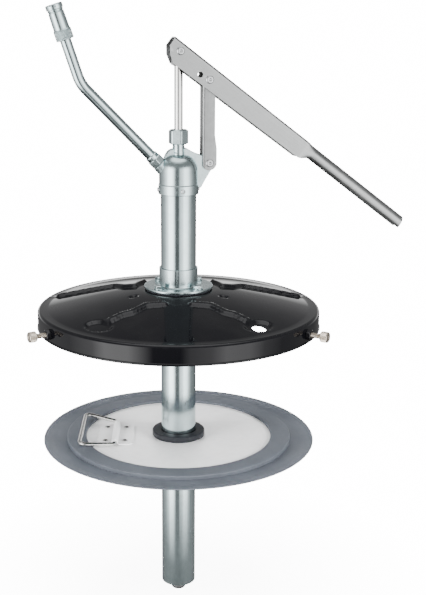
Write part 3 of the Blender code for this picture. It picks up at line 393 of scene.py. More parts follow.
def shape(name, skins, placed=WORLD, sharp=32):
    """One mesh object from its skins, each (grid, rows close, columns close, ends capped). Points that
    meet are merged, which closes seams and poles, and the faces are then turned outwards."""
    points, faces, count = [], [], 0
    for grid, wrap_rows, wrap_cols, capped in skins:
        rows, cols = grid.shape[:2]
        faces += (faces_of(rows, cols, wrap_rows, wrap_cols) + count).tolist()
        if capped:
            last = count + (rows - 1) * cols
            faces += [list(range(count, count + cols)), list(range(last, last + cols))]
        points.append(grid.reshape(-1, 3))
        count += rows * cols
    mesh = bpy.data.meshes.new(name)
    mesh.from_pydata((np.concatenate(points) @ placed[1] + placed[0]).tolist(), [], faces)
    cleaned(mesh, sharp)
    made = bpy.data.objects.new(name, mesh)
    bpy.context.scene.collection.objects.link(made)
    return made


def cleaned(mesh, sharp=32):
    """Merge points that meet, turn the faces outwards, and shade smooth up to the angle."""
    work = bmesh.new()
    work.from_mesh(mesh)
    bmesh.ops.remove_doubles(work, verts=work.verts, dist=0.002 * MM)
    bmesh.ops.dissolve_degenerate(work, edges=work.edges, dist=0.001 * MM)
    bmesh.ops.recalc_face_normals(work, faces=work.faces)
    work.to_mesh(mesh)
    work.free()
    mesh.shade_smooth()
    mesh.set_sharp_from_angle(angle=radians(sharp))


def carved(target, cutters, operation="DIFFERENCE", sharp=32):
    """Cut or join with other shapes by an exact Boolean, keep the result and drop the tools."""
    for cutter in cutters:
        step = target.modifiers.new("Cut", "BOOLEAN")
        step.operation = operation
        step.solver = "EXACT"
        step.object = cutter
    bpy.context.view_layer.update()
    graph = bpy.context.evaluated_depsgraph_get()
    result = bpy.data.meshes.new_from_object(target.evaluated_get(graph))
    target.modifiers.clear()
    target.data = result
    result.materials.clear()
    for cutter in cutters:
        bpy.data.objects.remove(cutter)
    cleaned(result, sharp)
    return target


def drill(radius, at, out, length=60 * MM, sides=32):
    """Round cutter about a point, along a direction."""
    outline = np.array(((0, -length / 2), (radius, -length / 2), (radius, length / 2), (0, length / 2)))
    return shape("drill", [turned(outline, sides, closed=False)], aimed(at, out, (0.3, 0.4, 0.87)))


def bevelled(target, width, segments=2, angle=40):
    """Break the edges that are sharper than the angle."""
    step = target.modifiers.new("Edges", "BEVEL")
    step.width = width
    step.segments = segments
    step.limit_method = "ANGLE"
    step.angle_limit = radians(angle)
    step.harden_normals = True
    return target


def finished(target, body, slot, finish, *nodes):
    """Give a piece its finish and its body, and hide the nodes that it stands for. The slot is not used."""
    target.data.materials.clear()
    target.data.materials.append(material(finish))
    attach(target, body)
    if nodes:
        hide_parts(*nodes)
    return target


def middle(node):
    """Middle of a node's box in the frame."""
    low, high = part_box(node)
    return np.array((low + high) / 2)


# ---------------------------------------------------------------- shader groups and finishes

def add(tree, kind, inputs=None, **settings):
    """Node with its settings and inputs; an input's value is a number, a colour or another socket."""
    made = tree.nodes.new(kind)
    for name, value in settings.items():
        setattr(made, name, value)
    for key, value in (inputs or {}).items():
        if isinstance(value, bpy.types.NodeSocket):
            tree.links.new(value, made.inputs[key])
        else:
            made.inputs[key].default_value = value
    return made


def math(tree, operation, *values):
    """Result of a sum, product or other operation on values or sockets."""
    made = add(tree, "ShaderNodeMath", dict(enumerate(values)), operation=operation)
    return made.outputs[0]


def ranged(tree, value, low, high, to_low=0.0, to_high=1.0):
    """Stretch a value from one range to another, clamped."""
    return add(tree, "ShaderNodeMapRange", {"Value": value, "From Min": low, "From Max": high,
                                            "To Min": to_low, "To Max": to_high}).outputs[0]


def mixed(tree, factor, low, high):
    """Colour between two colours."""
    made = add(tree, "ShaderNodeMix", {0: factor, 6: low, 7: high}, data_type="RGBA")
    return made.outputs[2]


def tint(colour, scale):
    """Colour scaled and cut off at 1, with alpha."""
    return tuple(min(channel * scale, 1.0) for channel in colour) + (1.0,)


def grey(level):
    """Neutral colour, with alpha."""
    return level, level, level, 1.0


def own_place(tree):
    """Place of a point in its object's own axes."""
    return add(tree, "ShaderNodeTexCoord").outputs["Object"]


def bumped(tree, shader, height, distance, strength):
    """Relief on the shader's normal."""
    bump = add(tree, "ShaderNodeBump", {"Height": height, "Distance": distance, "Strength": strength})
    tree.links.new(bump.outputs[0], shader.inputs["Normal"])


def group(name, inputs, outputs, build):
    """Shader group made once: build(tree, entry, leave) wires its inside."""
    if name in bpy.data.node_groups:
        return bpy.data.node_groups[name]
    tree = bpy.data.node_groups.new(name, "ShaderNodeTree")
    for label, kind, default in inputs:
        socket = tree.interface.new_socket(name=label, in_out="INPUT", socket_type=kind)
        socket.default_value = default
    for label in outputs:
        tree.interface.new_socket(name=label, in_out="OUTPUT", socket_type="NodeSocketFloat")
    entry = tree.nodes.new("NodeGroupInput")
    leave = tree.nodes.new("NodeGroupOutput")
    build(tree, entry.outputs, leave.inputs)
    return tree


def clouds_group():
    """Uneven plating: broad clouds, and fine flecks where the plate has spangled."""
    def build(tree, entry, leave):
        place = own_place(tree)
        broad = add(tree, "ShaderNodeTexNoise", {"Vector": place, "Scale": entry["Scale"], "Detail": 5.0,
                                                 "Roughness": 0.6, "Distortion": 0.4})
        small = math(tree, "MULTIPLY", entry["Scale"], 14.0)
        fine = add(tree, "ShaderNodeTexVoronoi", {"Vector": place, "Scale": small, "Randomness": 1.0})
        tree.links.new(ranged(tree, broad.outputs[0], 0.32, 0.68), leave["Cloud"])
        tree.links.new(ranged(tree, fine.outputs["Distance"], 0.1, 0.75), leave["Fleck"])
    return group("Plating clouds", [("Scale", "NodeSocketFloat", 20.0)], ["Cloud", "Fleck"], build)


def lines_group():
    """Grain of drawn, rolled or turned metal: noise squeezed along the way that the tool ran."""
    def build(tree, entry, leave):
        turned_place = add(tree, "ShaderNodeMapping", {"Vector": own_place(tree),
                                                       "Rotation": entry["Turn"]})
        place = add(tree, "ShaderNodeVectorMath", {0: turned_place.outputs[0], 1: entry["Stretch"]},
                    operation="MULTIPLY")
        noise = add(tree, "ShaderNodeTexNoise", {"Vector": place.outputs[0], "Scale": 1.0, "Detail": 4.0,
                                                 "Roughness": 0.7})
        tree.links.new(ranged(tree, noise.outputs[0], 0.25, 0.75), leave["Lines"])
    inputs = [("Stretch", "NodeSocketVector", (1.0, 1.0, 1.0)), ("Turn", "NodeSocketVector", (0, 0, 0))]
    return group("Tool lines", inputs, ["Lines"], build)


def wear_and_hollow_shade_group():
    """Worn edges: where the surface turns over sharply, broken up by noise. And painted shade: a mask of
    the hollows, where the surface turns in.
    """
    def build(tree, entry, leave):
        edge = add(tree, "ShaderNodeNewGeometry").outputs["Pointiness"]
        place = own_place(tree)
        noise = add(tree, "ShaderNodeTexNoise", {"Vector": place, "Scale": entry["Scale"], "Detail": 6.0})
        worn = math(tree, "MULTIPLY", ranged(tree, edge, 0.505, 0.56),
                    ranged(tree, noise.outputs[0], 0.35, 0.6))
        # Painted shade: a mask of the hollows, where the surface turns in
        hollow = ranged(tree, edge, 0.495, 0.44)
        tree.links.new(math(tree, "MULTIPLY", worn, entry["Amount"]), leave["Wear"])
        tree.links.new(hollow, leave["Hollow"])
    inputs = [("Amount", "NodeSocketFloat", 1.0), ("Scale", "NodeSocketFloat", 150.0)]
    return group("Edge wear", inputs, ["Wear", "Hollow"], build)


def dust_group():
    """Dust that lies where a surface looks up, in patches."""
    def build(tree, entry, leave):
        up = add(tree, "ShaderNodeSeparateXYZ", {0: add(tree, "ShaderNodeNewGeometry").outputs["Normal"]})
        place = own_place(tree)
        patches = add(tree, "ShaderNodeTexNoise", {"Vector": place, "Scale": entry["Scale"], "Detail": 7.0,
                                                   "Roughness": 0.65})
        mask = math(tree, "MULTIPLY", ranged(tree, up.outputs["Z"], 0.4, 1.0),
                    ranged(tree, patches.outputs[0], 0.45, 0.75))
        tree.links.new(math(tree, "MULTIPLY", mask, entry["Amount"]), leave["Dust"])
    inputs = [("Amount", "NodeSocketFloat", 0.2), ("Scale", "NodeSocketFloat", 14.0)]
    return group("Dust", inputs, ["Dust"], build)


def placed_group(tree, made, inputs):
    """Outputs of a shader group, used with these values."""
    node = add(tree, "ShaderNodeGroup", node_tree=made)
    for name, value in inputs.items():
        node.inputs[name].default_value = value
    return node.outputs


def base_material(name, colour):
    """New material, with its tree and its shader."""
    made = bpy.data.materials.new(name)
    made.use_nodes = True
    made.diffuse_color = tint(colour, 1.0)
    return made, made.node_tree, made.node_tree.nodes["Principled BSDF"]


def metal(name, colour, roughness, stretch, grain=0.05, spread=0.10, cloud_scale=22.0, wear=0.5,
          turn=(0, 0, 0), relief=0.02 * MM, darkest=0.80, metallic=1.0):
    """Plated or bare metal. Clouds move its colour and roughness, tool lines its roughness and relief,
    edges are rubbed brighter, and hollows are darkened as painted shade."""
    made, tree, shader = base_material(name, colour)
    clouds = placed_group(tree, clouds_group(), {"Scale": cloud_scale})
    lines = placed_group(tree, lines_group(), {"Stretch": stretch, "Turn": turn})
    worn = placed_group(tree, wear_and_hollow_shade_group(), {"Amount": wear, "Scale": 160.0})
    shade = mixed(tree, clouds["Cloud"], tint(colour, darkest), tint(colour, 1.06))
    drawn = math(tree, "MULTIPLY", lines["Lines"], grain * 3)
    shade = mixed(tree, drawn, shade, tint(colour, darkest * 0.8))
    shade = mixed(tree, worn["Wear"], shade, tint(colour, 1.3))
    # Painted shade: hollows darkened towards a quarter of the colour
    shade = mixed(tree, math(tree, "MULTIPLY", worn["Hollow"], 0.55), shade, tint(colour, 0.28))
    tree.links.new(shade, shader.inputs["Base Color"])
    uneven = math(tree, "ADD", math(tree, "MULTIPLY", clouds["Cloud"], spread),
                  math(tree, "MULTIPLY", clouds["Fleck"], spread * 0.5))
    rough = math(tree, "ADD", uneven, math(tree, "MULTIPLY", lines["Lines"], grain * 2))
    tree.links.new(math(tree, "ADD", rough, roughness - spread * 0.5), shader.inputs["Roughness"])
    shader.inputs["Metallic"].default_value = metallic
    height = math(tree, "ADD", lines["Lines"], math(tree, "MULTIPLY", clouds["Fleck"], 0.15))
    bumped(tree, shader, height, relief, 0.6)
    return made


def enamel(name, colour):
    """Gloss black enamel: faint orange peel, dust on top, and paint rubbed thin on sharp edges."""
    made, tree, shader = base_material(name, colour)
    clouds = placed_group(tree, clouds_group(), {"Scale": 30.0})
    worn = placed_group(tree, wear_and_hollow_shade_group(), {"Amount": 0.3, "Scale": 220.0})
    dust = placed_group(tree, dust_group(), {"Amount": 0.10, "Scale": 18.0})
    shade = mixed(tree, worn["Wear"], tint(colour, 1.0), (0.012, 0.012, 0.013, 1.0))
    shade = mixed(tree, dust["Dust"], shade, grey(0.02))
    tree.links.new(shade, shader.inputs["Base Color"])
    rough = math(tree, "ADD", ranged(tree, clouds["Cloud"], 0, 1, 0.03, 0.06),
                 math(tree, "MULTIPLY", dust["Dust"], 0.4))
    tree.links.new(rough, shader.inputs["Roughness"])
    peel = add(tree, "ShaderNodeTexNoise", {"Vector": own_place(tree), "Scale": 420.0, "Detail": 1.5})
    bumped(tree, shader, peel.outputs[0], 0.004 * MM, 0.5)
    shader.inputs["Specular IOR Level"].default_value = 0.26
    return made


def rubber(name, colour, roughness, pale):
    """Moulded rubber: fine pores, pale bloom in clouds, dust where it looks up."""
    made, tree, shader = base_material(name, colour)
    clouds = placed_group(tree, clouds_group(), {"Scale": 26.0})
    dust = placed_group(tree, dust_group(), {"Amount": 0.05, "Scale": 11.0})
    worn = placed_group(tree, wear_and_hollow_shade_group(), {"Amount": 0.5, "Scale": 120.0})
    shade = mixed(tree, clouds["Cloud"], tint(colour, 0.88), tint(colour, 1.14))
    shade = mixed(tree, dust["Dust"], shade, grey(pale))
    shade = mixed(tree, worn["Wear"], shade, tint(colour, 1.7))
    tree.links.new(shade, shader.inputs["Base Color"])
    tree.links.new(ranged(tree, clouds["Cloud"], 0, 1, roughness - 0.06, roughness + 0.08),
                   shader.inputs["Roughness"])
    pores = add(tree, "ShaderNodeTexNoise", {"Vector": own_place(tree), "Scale": 900.0, "Detail": 3.0})
    bumped(tree, shader, pores.outputs[0], 0.05 * MM, 0.55)
    shader.inputs["Specular IOR Level"].default_value = 0.30
    return made


def setting_names(settings):
    """Names of a group's own settings."""
    return [name for name in settings.bl_rna.properties.keys() if name not in ("rna_type", "name")]


def finishes():
    """Every finish by name: the function that makes it and its values."""
    look = bpy.context.scene.pump_finish
    colour = {name: tuple(getattr(look, name)) for name in setting_names(look)}
    upright_lines, rings = (900.0, 900.0, 12.0), (20.0, 20.0, 1400.0)
    along_lever = (14.0, 700.0, 900.0)
    return {
        "zinc_drawn": lambda n: metal(n, colour["zinc"], 0.10, upright_lines, 0.03, 0.08, 9.0),
        "zinc_turned": lambda n: metal(n, colour["zinc"], 0.13, rings, 0.04, 0.08, 34.0),
        "zinc_cast": lambda n: metal(n, tint(colour["zinc"], 0.92)[:3], 0.27, (160.0, 160.0, 160.0), 0.06,
                                     0.14, 60.0, 0.7, relief=0.12 * MM),
        "satin_lever": lambda n: metal(n, colour["satin"], 0.25, along_lever, 0.05, 0.10, 38.0, 0.7,
                                       turn=(0, -LEVER_SLOPE, 0), relief=0.03 * MM, darkest=0.86),
        "satin_link": lambda n: metal(n, colour["satin"], 0.36, (700.0, 700.0, 14.0), 0.05, 0.12, 60.0,
                                      0.7, relief=0.05 * MM),
        "rolled_sheet": lambda n: metal(n, colour["sheet"], 0.40, (9.0, 800.0, 800.0), 0.05, 0.10, 12.0,
                                        0.4, turn=(0, 0, -PATTERN_TURN), darkest=0.90, metallic=0.35),
        "nickel": lambda n: metal(n, colour["nickel"], 0.24, rings, 0.04, 0.10, 120.0, 0.6),
        "bright_wire": lambda n: metal(n, colour["wire"], 0.16, (300.0, 300.0, 300.0), 0.03, 0.08, 60.0,
                                       0.5),
        "turned_steel": lambda n: metal(n, colour["turned"], 0.25, rings, 0.05, 0.10, 45.0, 0.6),
        "bright_rod": lambda n: metal(n, colour["wire"], 0.13, upright_lines, 0.03, 0.06, 16.0, 0.5),
        "black_enamel": lambda n: enamel(n, colour["enamel"]),
        "slate_rubber": lambda n: rubber(n, colour["slate"], 0.52, 0.32),
        "dark_rubber": lambda n: rubber(n, colour["rubber"], 0.46, 0.20),
    }


def material(finish):
    """The material of a finish, made the first time that it is asked for. Its name is kept apart from
    the names of the CAD frame's own materials."""
    name = "pump_" + finish
    if name not in bpy.data.materials:
        finishes()[finish](name)
    return bpy.data.materials[name]


# ---------------------------------------------------------------- cover

def crown_height(radius):
    """Seat's height less the rise times a power of the share of the way from the seat to the rim."""
    share = np.clip((radius - SEAT_R) / (RIM_R - SEAT_R), 0.0, 1.0)
    return COVER_RISE * (1 - share ** CROWN_POWER)


RIB_FRONT = np.array(((17, -66), (37, -67), (53, -83), (63, -86), (88, -107))) * MM
RIB_REAR = np.array(((44, 35), (53, 12), (65, 17), (76, 33), (146, 37))) * MM
RIB_BACK = np.array(((0, 64), (0, 128))) * MM
PAD_SPOT = np.array((cos(radians(-50)), sin(radians(-50)))) * 137 * MM
PAD_HALF = (13 * MM, 19 * MM)       # pressed pad round the vent, half its size out and round


def pressed_depth(x, y):
    """Depth of the pressing at a point of the cover: ribs stand up, pads and dimples go down. A rib is a
    soft step of the distance to the nearest stretch of its line, a pad of the distance in an ellipse,
    and a dimple of the distance from its middle."""
    look = bpy.context.scene.pump_surface
    spots = np.stack((x, y), -1)[..., None, :]
    lines = [RIB_FRONT, RIB_REAR]
    starts = np.concatenate([line[:-1] for line in lines])
    ends = np.concatenate([line[1:] for line in lines])
    mirror = np.array((-1, 1))
    starts = np.concatenate((starts, starts * mirror, RIB_BACK[:-1]))
    ends = np.concatenate((ends, ends * mirror, RIB_BACK[1:]))
    run = ends - starts
    share = np.clip(((spots - starts) * run).sum(-1) / (run * run).sum(-1), 0, 1)
    gap = np.linalg.norm(spots - starts - share[..., None] * run, axis=-1).min(-1)
    depth = -smooth((look.rib_half + RIB_SLOPE / 2 - gap) / RIB_SLOPE)
    for sign in (1, -1):
        spot = PAD_SPOT * np.array((sign, 1))
        out = spot / np.linalg.norm(spot)
        dx, dy = x - spot[0], y - spot[1]
        along, round_ = dx * out[0] + dy * out[1], dy * out[0] - dx * out[1]
        inside_pad = 1 - np.sqrt((along / PAD_HALF[0]) ** 2 + (round_ / PAD_HALF[1]) ** 2)
        pad = smooth(inside_pad / PAD_SLOPE)
        depth = depth * (1 - pad) + HOLLOW_SHARE * pad
    for angle, reach in DIMPLES:
        gap = np.hypot(x - reach * cos(angle), y - reach * sin(angle))
        dimple = smooth((DIMPLE_R + 1 * MM - gap) / DIMPLE_SLOPE)
        depth = depth * (1 - dimple) + HOLLOW_SHARE * dimple
    radius = np.hypot(x, y)
    edge = smooth((radius - SEAT_R - 4 * MM) / (6 * MM)) * smooth((RIM_R + 1 * MM - radius) / (5 * MM))
    return look.rib_depth * depth * edge


def cover_section():
    """Section of the pressed sheet: top from the bore to the skirt's foot, a rolled hem, and the same
    way back under the sheet. Returned as (radius, height, share of the pressing)."""
    crown = np.linspace(SEAT_R, RIM_R, 62)
    top = np.concatenate((((COVER_BORE_R, COVER_RISE), (SEAT_R - 6 * MM, COVER_RISE)),
                          np.stack((crown, crown_height(crown)), -1), ((COVER_R - COVER_CORNER, 0),)))
    corner = arc((COVER_R - COVER_CORNER, -COVER_CORNER), COVER_CORNER, 84, 0, 8)
    foot = -COVER_SKIRT
    skirt = np.array(((COVER_R, -8 * MM), (COVER_R, foot + 3.4 * MM)))
    bead = arc((COVER_R - 0.9 * MM, foot + 1.7 * MM), (1.7 * MM, 1.7 * MM), 58, -90, 9)
    under = arc((COVER_R - 0.9 * MM, foot + 1.7 * MM), (1.3 * MM, 1.7 * MM), -110, -180, 4)
    inner_skirt = np.array(((COVER_R - COVER_SHEET, foot + 4.5 * MM), (COVER_R - COVER_SHEET, -8 * MM)))
    inner_corner = arc((COVER_R - COVER_CORNER, -COVER_CORNER), COVER_CORNER - COVER_SHEET, 0, 84, 6)
    lower = top[::-1] - np.array((0, COVER_SHEET))
    parts = (top, corner, skirt, bead, under, inner_skirt, inner_corner, lower)
    pressed = np.concatenate([np.full(len(part), float(part is top or part is lower)) for part in parts])
    return np.concatenate(parts), pressed


def cover_skin(sides=360):
    """Section turned round Z, with the pressing taken off the height."""
    section, pressed = cover_section()
    angle = angles_round(sides)[None, :]
    x = section[:, :1] * np.cos(angle)
    y = section[:, :1] * np.sin(angle)
    height = section[:, 1:] - pressed[:, None] * pressed_depth(x, y)
    return np.stack((x, y, height), -1), True, True, False


class PUMP_OT_cover(Operator):
    """Pressed black drum cover with ribs, pads, dimples, rolled hem and vent hole."""
    bl_idname = "pump.cover"
    bl_label = "Drum Cover"

    def execute(self, context):
        cover = shape("cover_shell", [cover_skin()], PATTERN)
        angle, reach, radius = VENT
        spot = reach * outward(angle) @ PATTERN[1]
        cutters = [drill(radius, spot, (0, 0, 1), 90 * MM, 40)]
        for angle in THUMB_ANGLES:
            out = outward(angle) @ PATTERN[1]
            spot = out * COVER_R - np.array((0, 0, THUMB_DROP))
            cutters.append(drill(THUMB_R + FIT, spot, out, 12 * MM, 24))
        carved(cover, cutters)
        finished(cover, "root", "black_enamel", "black_enamel", "drum_cover")
        return {"FINISHED"}


# ---------------------------------------------------------------- thumb screws and bosses

def knurled(low, high, count, depth=None):
    """Straight knurl between two heights: a raised cosine round the piece, fading out at both ends."""
    depth = depth or bpy.context.scene.pump_surface.knurl_depth

    def relief(radius, height, angle):
        band = smooth((height - low) / (0.8 * MM)) * smooth((high - height) / (0.8 * MM))
        outer = smooth((radius - THUMB_R - 1 * MM) / (1 * MM))
        return -depth * band * outer * (0.5 + 0.5 * np.cos(count * angle)) ** 0.7
    return relief


def crossed_knurl(low, high, count, lean):
    """Diamond knurl: the deeper of two raised cosines that lean opposite ways."""
    depth = bpy.context.scene.pump_surface.knurl_depth * 1.5

    def relief(radius, height, angle):
        band = smooth((height - low) / (0.6 * MM)) * smooth((high - height) / (0.6 * MM))
        one = 0.5 + 0.5 * np.cos(count * angle + height * lean)
        two = 0.5 + 0.5 * np.cos(count * angle - height * lean)
        return -depth * band * (radius > 9.5 * MM) * np.maximum(one, two) ** 2.2
    return relief


def threaded(low, high, limit):
    """Thread between two heights: a triangle wave of the height less a turn's share of the pitch."""
    pitch = bpy.context.scene.pump_surface.thread_pitch

    def relief(radius, height, angle):
        band = smooth((height - low) / (0.5 * MM)) * smooth((high - height) / (0.5 * MM))
        wave = np.abs(2 * ((height / pitch - angle / (2 * pi)) % 1.0) - 1)
        return -0.45 * pitch * band * (1 - wave) * (radius < limit)
    return relief


class PUMP_OT_thumb_screws(Operator):
    """Three thumb screws with knurled knobs, in hexagon bosses on the cover's skirt."""
    bl_idname = "pump.thumb_screws"
    bl_label = "Thumb Screws"

    def execute(self, context):
        start = COVER_R + FIT
        tip = -COVER_SHEET - FIT
        outline = softened(((0, tip), (THUMB_R - 0.6 * MM, tip), (THUMB_R, tip + 0.8 * MM),
                            (THUMB_R, KNOB_START - 0.8 * MM), (4.4 * MM, KNOB_START - 0.6 * MM),
                            (4.4 * MM, KNOB_START + 0.3 * MM), (KNOB_R - 0.7 * MM, KNOB_START + 0.3 * MM),
                            (KNOB_R, KNOB_START + 1.1 * MM), (KNOB_R, KNOB_END - 1.0 * MM),
                            (KNOB_R - 0.8 * MM, KNOB_END), (3.0 * MM, KNOB_END),
                            (2.4 * MM, KNOB_END - 0.5 * MM), (0, KNOB_END - 0.5 * MM)),
                           0.35 * MM, 4, closed=False)
        outline = refined(outline, 0.3 * MM)
        grooves = knurled(KNOB_START + 0.8 * MM, KNOB_END - 0.6 * MM, 30, 0.45 * MM)
        thread = threaded(tip + 0.5 * MM, KNOB_START - 1 * MM, THUMB_R + 0.1 * MM)

        def relief(radius, height, angle):
            """Knurl on the knob and thread on the shank."""
            return grooves(radius, height, angle) + thread(radius, height, angle)

        half = BOSS_R * cos(pi / 6)
        bore = THUMB_R + FIT
        boss_rows = ((bore, 0, 0, 0), (half, 1, 0, 0), (half, 1, BOSS_LENGTH - 0.5 * MM, 0.5),
                     (half - 0.5 * MM, 0, BOSS_LENGTH, 0), (bore + 0.4 * MM, 0, BOSS_LENGTH, 0),
                     (bore, 0, BOSS_LENGTH - 0.4 * MM, 0))
        for k, angle in enumerate(THUMB_ANGLES):
            out = outward(angle)
            place = inside(PATTERN, aimed(out * start - np.array((0, 0, THUMB_DROP)), out))
            screw = shape("thumb_screw_knurled_%d" % (k + 1), [turned(outline, 180, relief, False)], place)
            finished(screw, "thumb_screw_%d" % (k + 1), "nickel_plate", "nickel",
                     "thumb_screw_%d" % (k + 1))
            boss = shape("hexagon_boss_%d" % (k + 1), [hexed(boss_rows, 72)], place)
            finished(boss, "root", "black_enamel", "black_enamel", "screw_boss_%d" % (k + 1))
        return {"FINISHED"}


# ---------------------------------------------------------------- flange and barrel

class PUMP_OT_flange(Operator):
    """Flange with its collar round the barrel, and four hexagon bolts."""
    bl_idname = "pump.flange"
    bl_label = "Flange"

    def execute(self, context):
        low, top, end = FLANGE_LOW.z, FLANGE_LOW.z + FLANGE_PLATE, FLANGE_HIGH.z
        outline = softened(((TUBE_FIT_R, low), (FLANGE_R, low), (FLANGE_R, top),
                            (COLLAR_R + 0.2 * MM, top), (COLLAR_R, top + 3 * MM), (COLLAR_R, end),
                            (TUBE_FIT_R, end)),
                           np.array((0.2, 0.8, 0.9, 2.6, 2.2, 0.6, 0.3)) * MM, 7)
        outline = refined(np.vstack((outline, outline[:1])), 1.2 * MM)[:-1]
        seam_angle = radians(-96)

        def seam(radius, height, angle):
            """Butt seam of the rolled collar: a narrow groove up its front."""
            off = np.abs((angle - seam_angle + pi) % (2 * pi) - pi) * radius
            return -0.2 * MM * smooth(1 - off / (1.5 * MM)) * (height > top + 3 * MM) * (radius > 22 * MM)

        flange = shape("flange_collar", [turned(outline, 220, seam)], PATTERN)
        finished(flange, "root", "zinc_plate", "zinc_turned", "cover_flange")
        half = BOLT_HALF
        for k in range(4):
            node = "flange_bolt_%d" % (k + 1)
            spot = middle(node)
            bolt_low, bolt_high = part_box(node)
            seat = bolt_high.z - BOLT_HEAD
            rows = ((0, 0, bolt_low.z, 0), (BOLT_SHANK_R, 0, bolt_low.z, 0), (BOLT_SHANK_R, 0, seat, 0),
                    (half + 0.9 * MM, 0, seat, 0), (half + 0.9 * MM, 0, seat + 0.5 * MM, 0),
                    (half + 0.2 * MM, 0, seat + 0.9 * MM, 0), (half, 1, seat + 1.0 * MM, 0),
                    (half, 1, bolt_high.z - 0.5 * MM, 0.55), (half - 0.5 * MM, 0, bolt_high.z, 0),
                    (half - 1.6 * MM, 0, bolt_high.z, 0), (half - 2.0 * MM, 0, bolt_high.z - 0.25 * MM, 0),
                    (0, 0, bolt_high.z - 0.25 * MM, 0))
            place = upright((spot[0], spot[1], 0), radians(17 + 40 * k))
            bolt = shape("hexagon_bolt_%d" % (k + 1), [hexed(rows, 72, False)], place)
            finished(bolt, "root", "zinc_plate", "zinc_turned", node)
        return {"FINISHED"}


class PUMP_OT_barrel(Operator):
    """Drawn tube of the barrel, with broken edges at both ends."""
    bl_idname = "pump.barrel"
    bl_label = "Barrel"

    def execute(self, context):
        bore = TUBE_R - 1.6 * MM
        low, high = TUBE_LOW.z, TUBE_HIGH.z
        outline = softened(((bore, low), (TUBE_R, low), (TUBE_R, high), (bore, high)), 0.5 * MM)
        barrel = shape("barrel_tube", [turned(outline, 160)])
        finished(barrel, "root", "zinc_plate", "zinc_drawn", "pump_tube")
        return {"FINISHED"}


# ---------------------------------------------------------------- head

def ear_outline():
    """Cheek of the link's ear: up the gusset, round the boss, and in one hollow curve to the neck."""
    x, z = EAR_PIN[0], EAR_PIN[2]
    gusset = np.array(((WALL_R - 3 * MM, BAND_TOP - 3 * MM), (BAND_R + 2.2 * MM, z - 29 * MM),
                       (BAND_R + 6 * MM, z - 22 * MM)))
    boss = arc((x, z), 7.9 * MM, -62, 104, 14)
    t = np.linspace(0.15, 1, 10)[:, None]
    high = z + 17.5 * MM
    start, pull = boss[-1], np.array((x - 13 * MM, z + 9 * MM))
    end = np.array((NECK_R + 1.6 * MM, high))
    return np.vstack((gusset, boss, quadratic(start, pull, end, t),
                      ((NECK_R - 2 * MM, high), (NECK_R - 2 * MM, SHOULDER_Z))))


def rib_outline():
    """Rib from the neck to the outlet's boss: its back is a curve that bulges over the dome."""
    foot = OUTLET_ROOT + OUTLET * (BOSS_END - 5 * MM)
    start = np.array((-NECK_R - 1.2 * MM, DOME_TOP + 7 * MM))
    end = np.array((foot[0] + 2 * MM, foot[2] + OUTLET_BOSS_R + 1.4 * MM))
    pull = np.array((-NECK_R - 8 * MM, DOME_TOP + 5 * MM))
    t = np.linspace(0, 1, 12)[:, None]
    back = quadratic(start, pull, end, t)
    inner = -NECK_R + 2 * MM
    return np.vstack((((inner, SHOULDER_Z), (inner, DOME_TOP + 7 * MM)), back, ((foot[0], foot[2]),)))


class PUMP_OT_head(Operator):
    """Cast pump head: band, dome, threaded neck, link ear, rib and outlet boss."""
    bl_idname = "pump.head"
    bl_label = "Pump Head"

    def execute(self, context):
        low, chamber, rod_bore = HEAD_LOW.z, 17.3 * MM, ROD_R + FIT
        dome = arc((NECK_R, SHOULDER_Z), (WALL_R - NECK_R, DOME_TOP - SHOULDER_Z), 0, 90, 18)
        outside = np.vstack((softened(((TUBE_FIT_R, low), (BAND_R, low), (BAND_R, BAND_TOP),
                                       (WALL_R, BAND_TOP + 0.9 * MM), (WALL_R, SHOULDER_Z - 1 * MM)),
                                      np.array((0, 0.9, 0.8, 0.5, 0)) * MM, 5, closed=False), dome))
        neck = softened(((NECK_R, DOME_TOP), (NECK_R, NECK_TOP), (rod_bore, NECK_TOP), (rod_bore, 177 * MM),
                         (chamber, SHOULDER_Z), (chamber, 152 * MM), (TUBE_FIT_R, 152 * MM)),
                        0.4 * MM, 4, closed=False)
        outline = refined(np.vstack((outside, neck)), 0.9 * MM)
        thread = threaded(DOME_TOP + 1.5 * MM, NECK_TOP, NECK_R + 0.05 * MM)

        def neck_thread(radius, height, angle):
            """Thread on the neck's outside only, not in its bore."""
            return thread(radius, height, angle) * (radius > 6.6 * MM)

        head = shape("head_casting", [turned(outline, 168, neck_thread)], sharp=40)
        finished(head, "root", "zinc_plate", "zinc_turned", "pump_head")
        ear = shape("link_ear", [slab(ear_outline(), -6 * MM, 6 * MM)])
        finished(bevelled(ear, 1.1 * MM, 3), "root", "zinc_plate", "zinc_cast")
        rib = shape("outlet_rib", [slab(rib_outline(), -3.4 * MM, 3.4 * MM)])
        finished(bevelled(rib, 1.5 * MM, 3), "root", "zinc_plate", "zinc_cast")
        along = np.linspace(14 * MM, BOSS_END - 0.8 * MM, 16)
        flare = OUTLET_BOSS_R + 2.6 * MM * np.exp(-(along - 14 * MM) / (6 * MM))
        boss = np.vstack((((0, 14 * MM),), np.stack((flare, along), -1),
                          ((OUTLET_BOSS_R - 0.7 * MM, BOSS_END), (0, BOSS_END))))
        outlet = shape("outlet_boss", [turned(boss, closed=False)], aimed(OUTLET_ROOT, OUTLET, (0, 1, 0)))
        finished(outlet, "root", "zinc_plate", "zinc_cast")
        return {"FINISHED"}


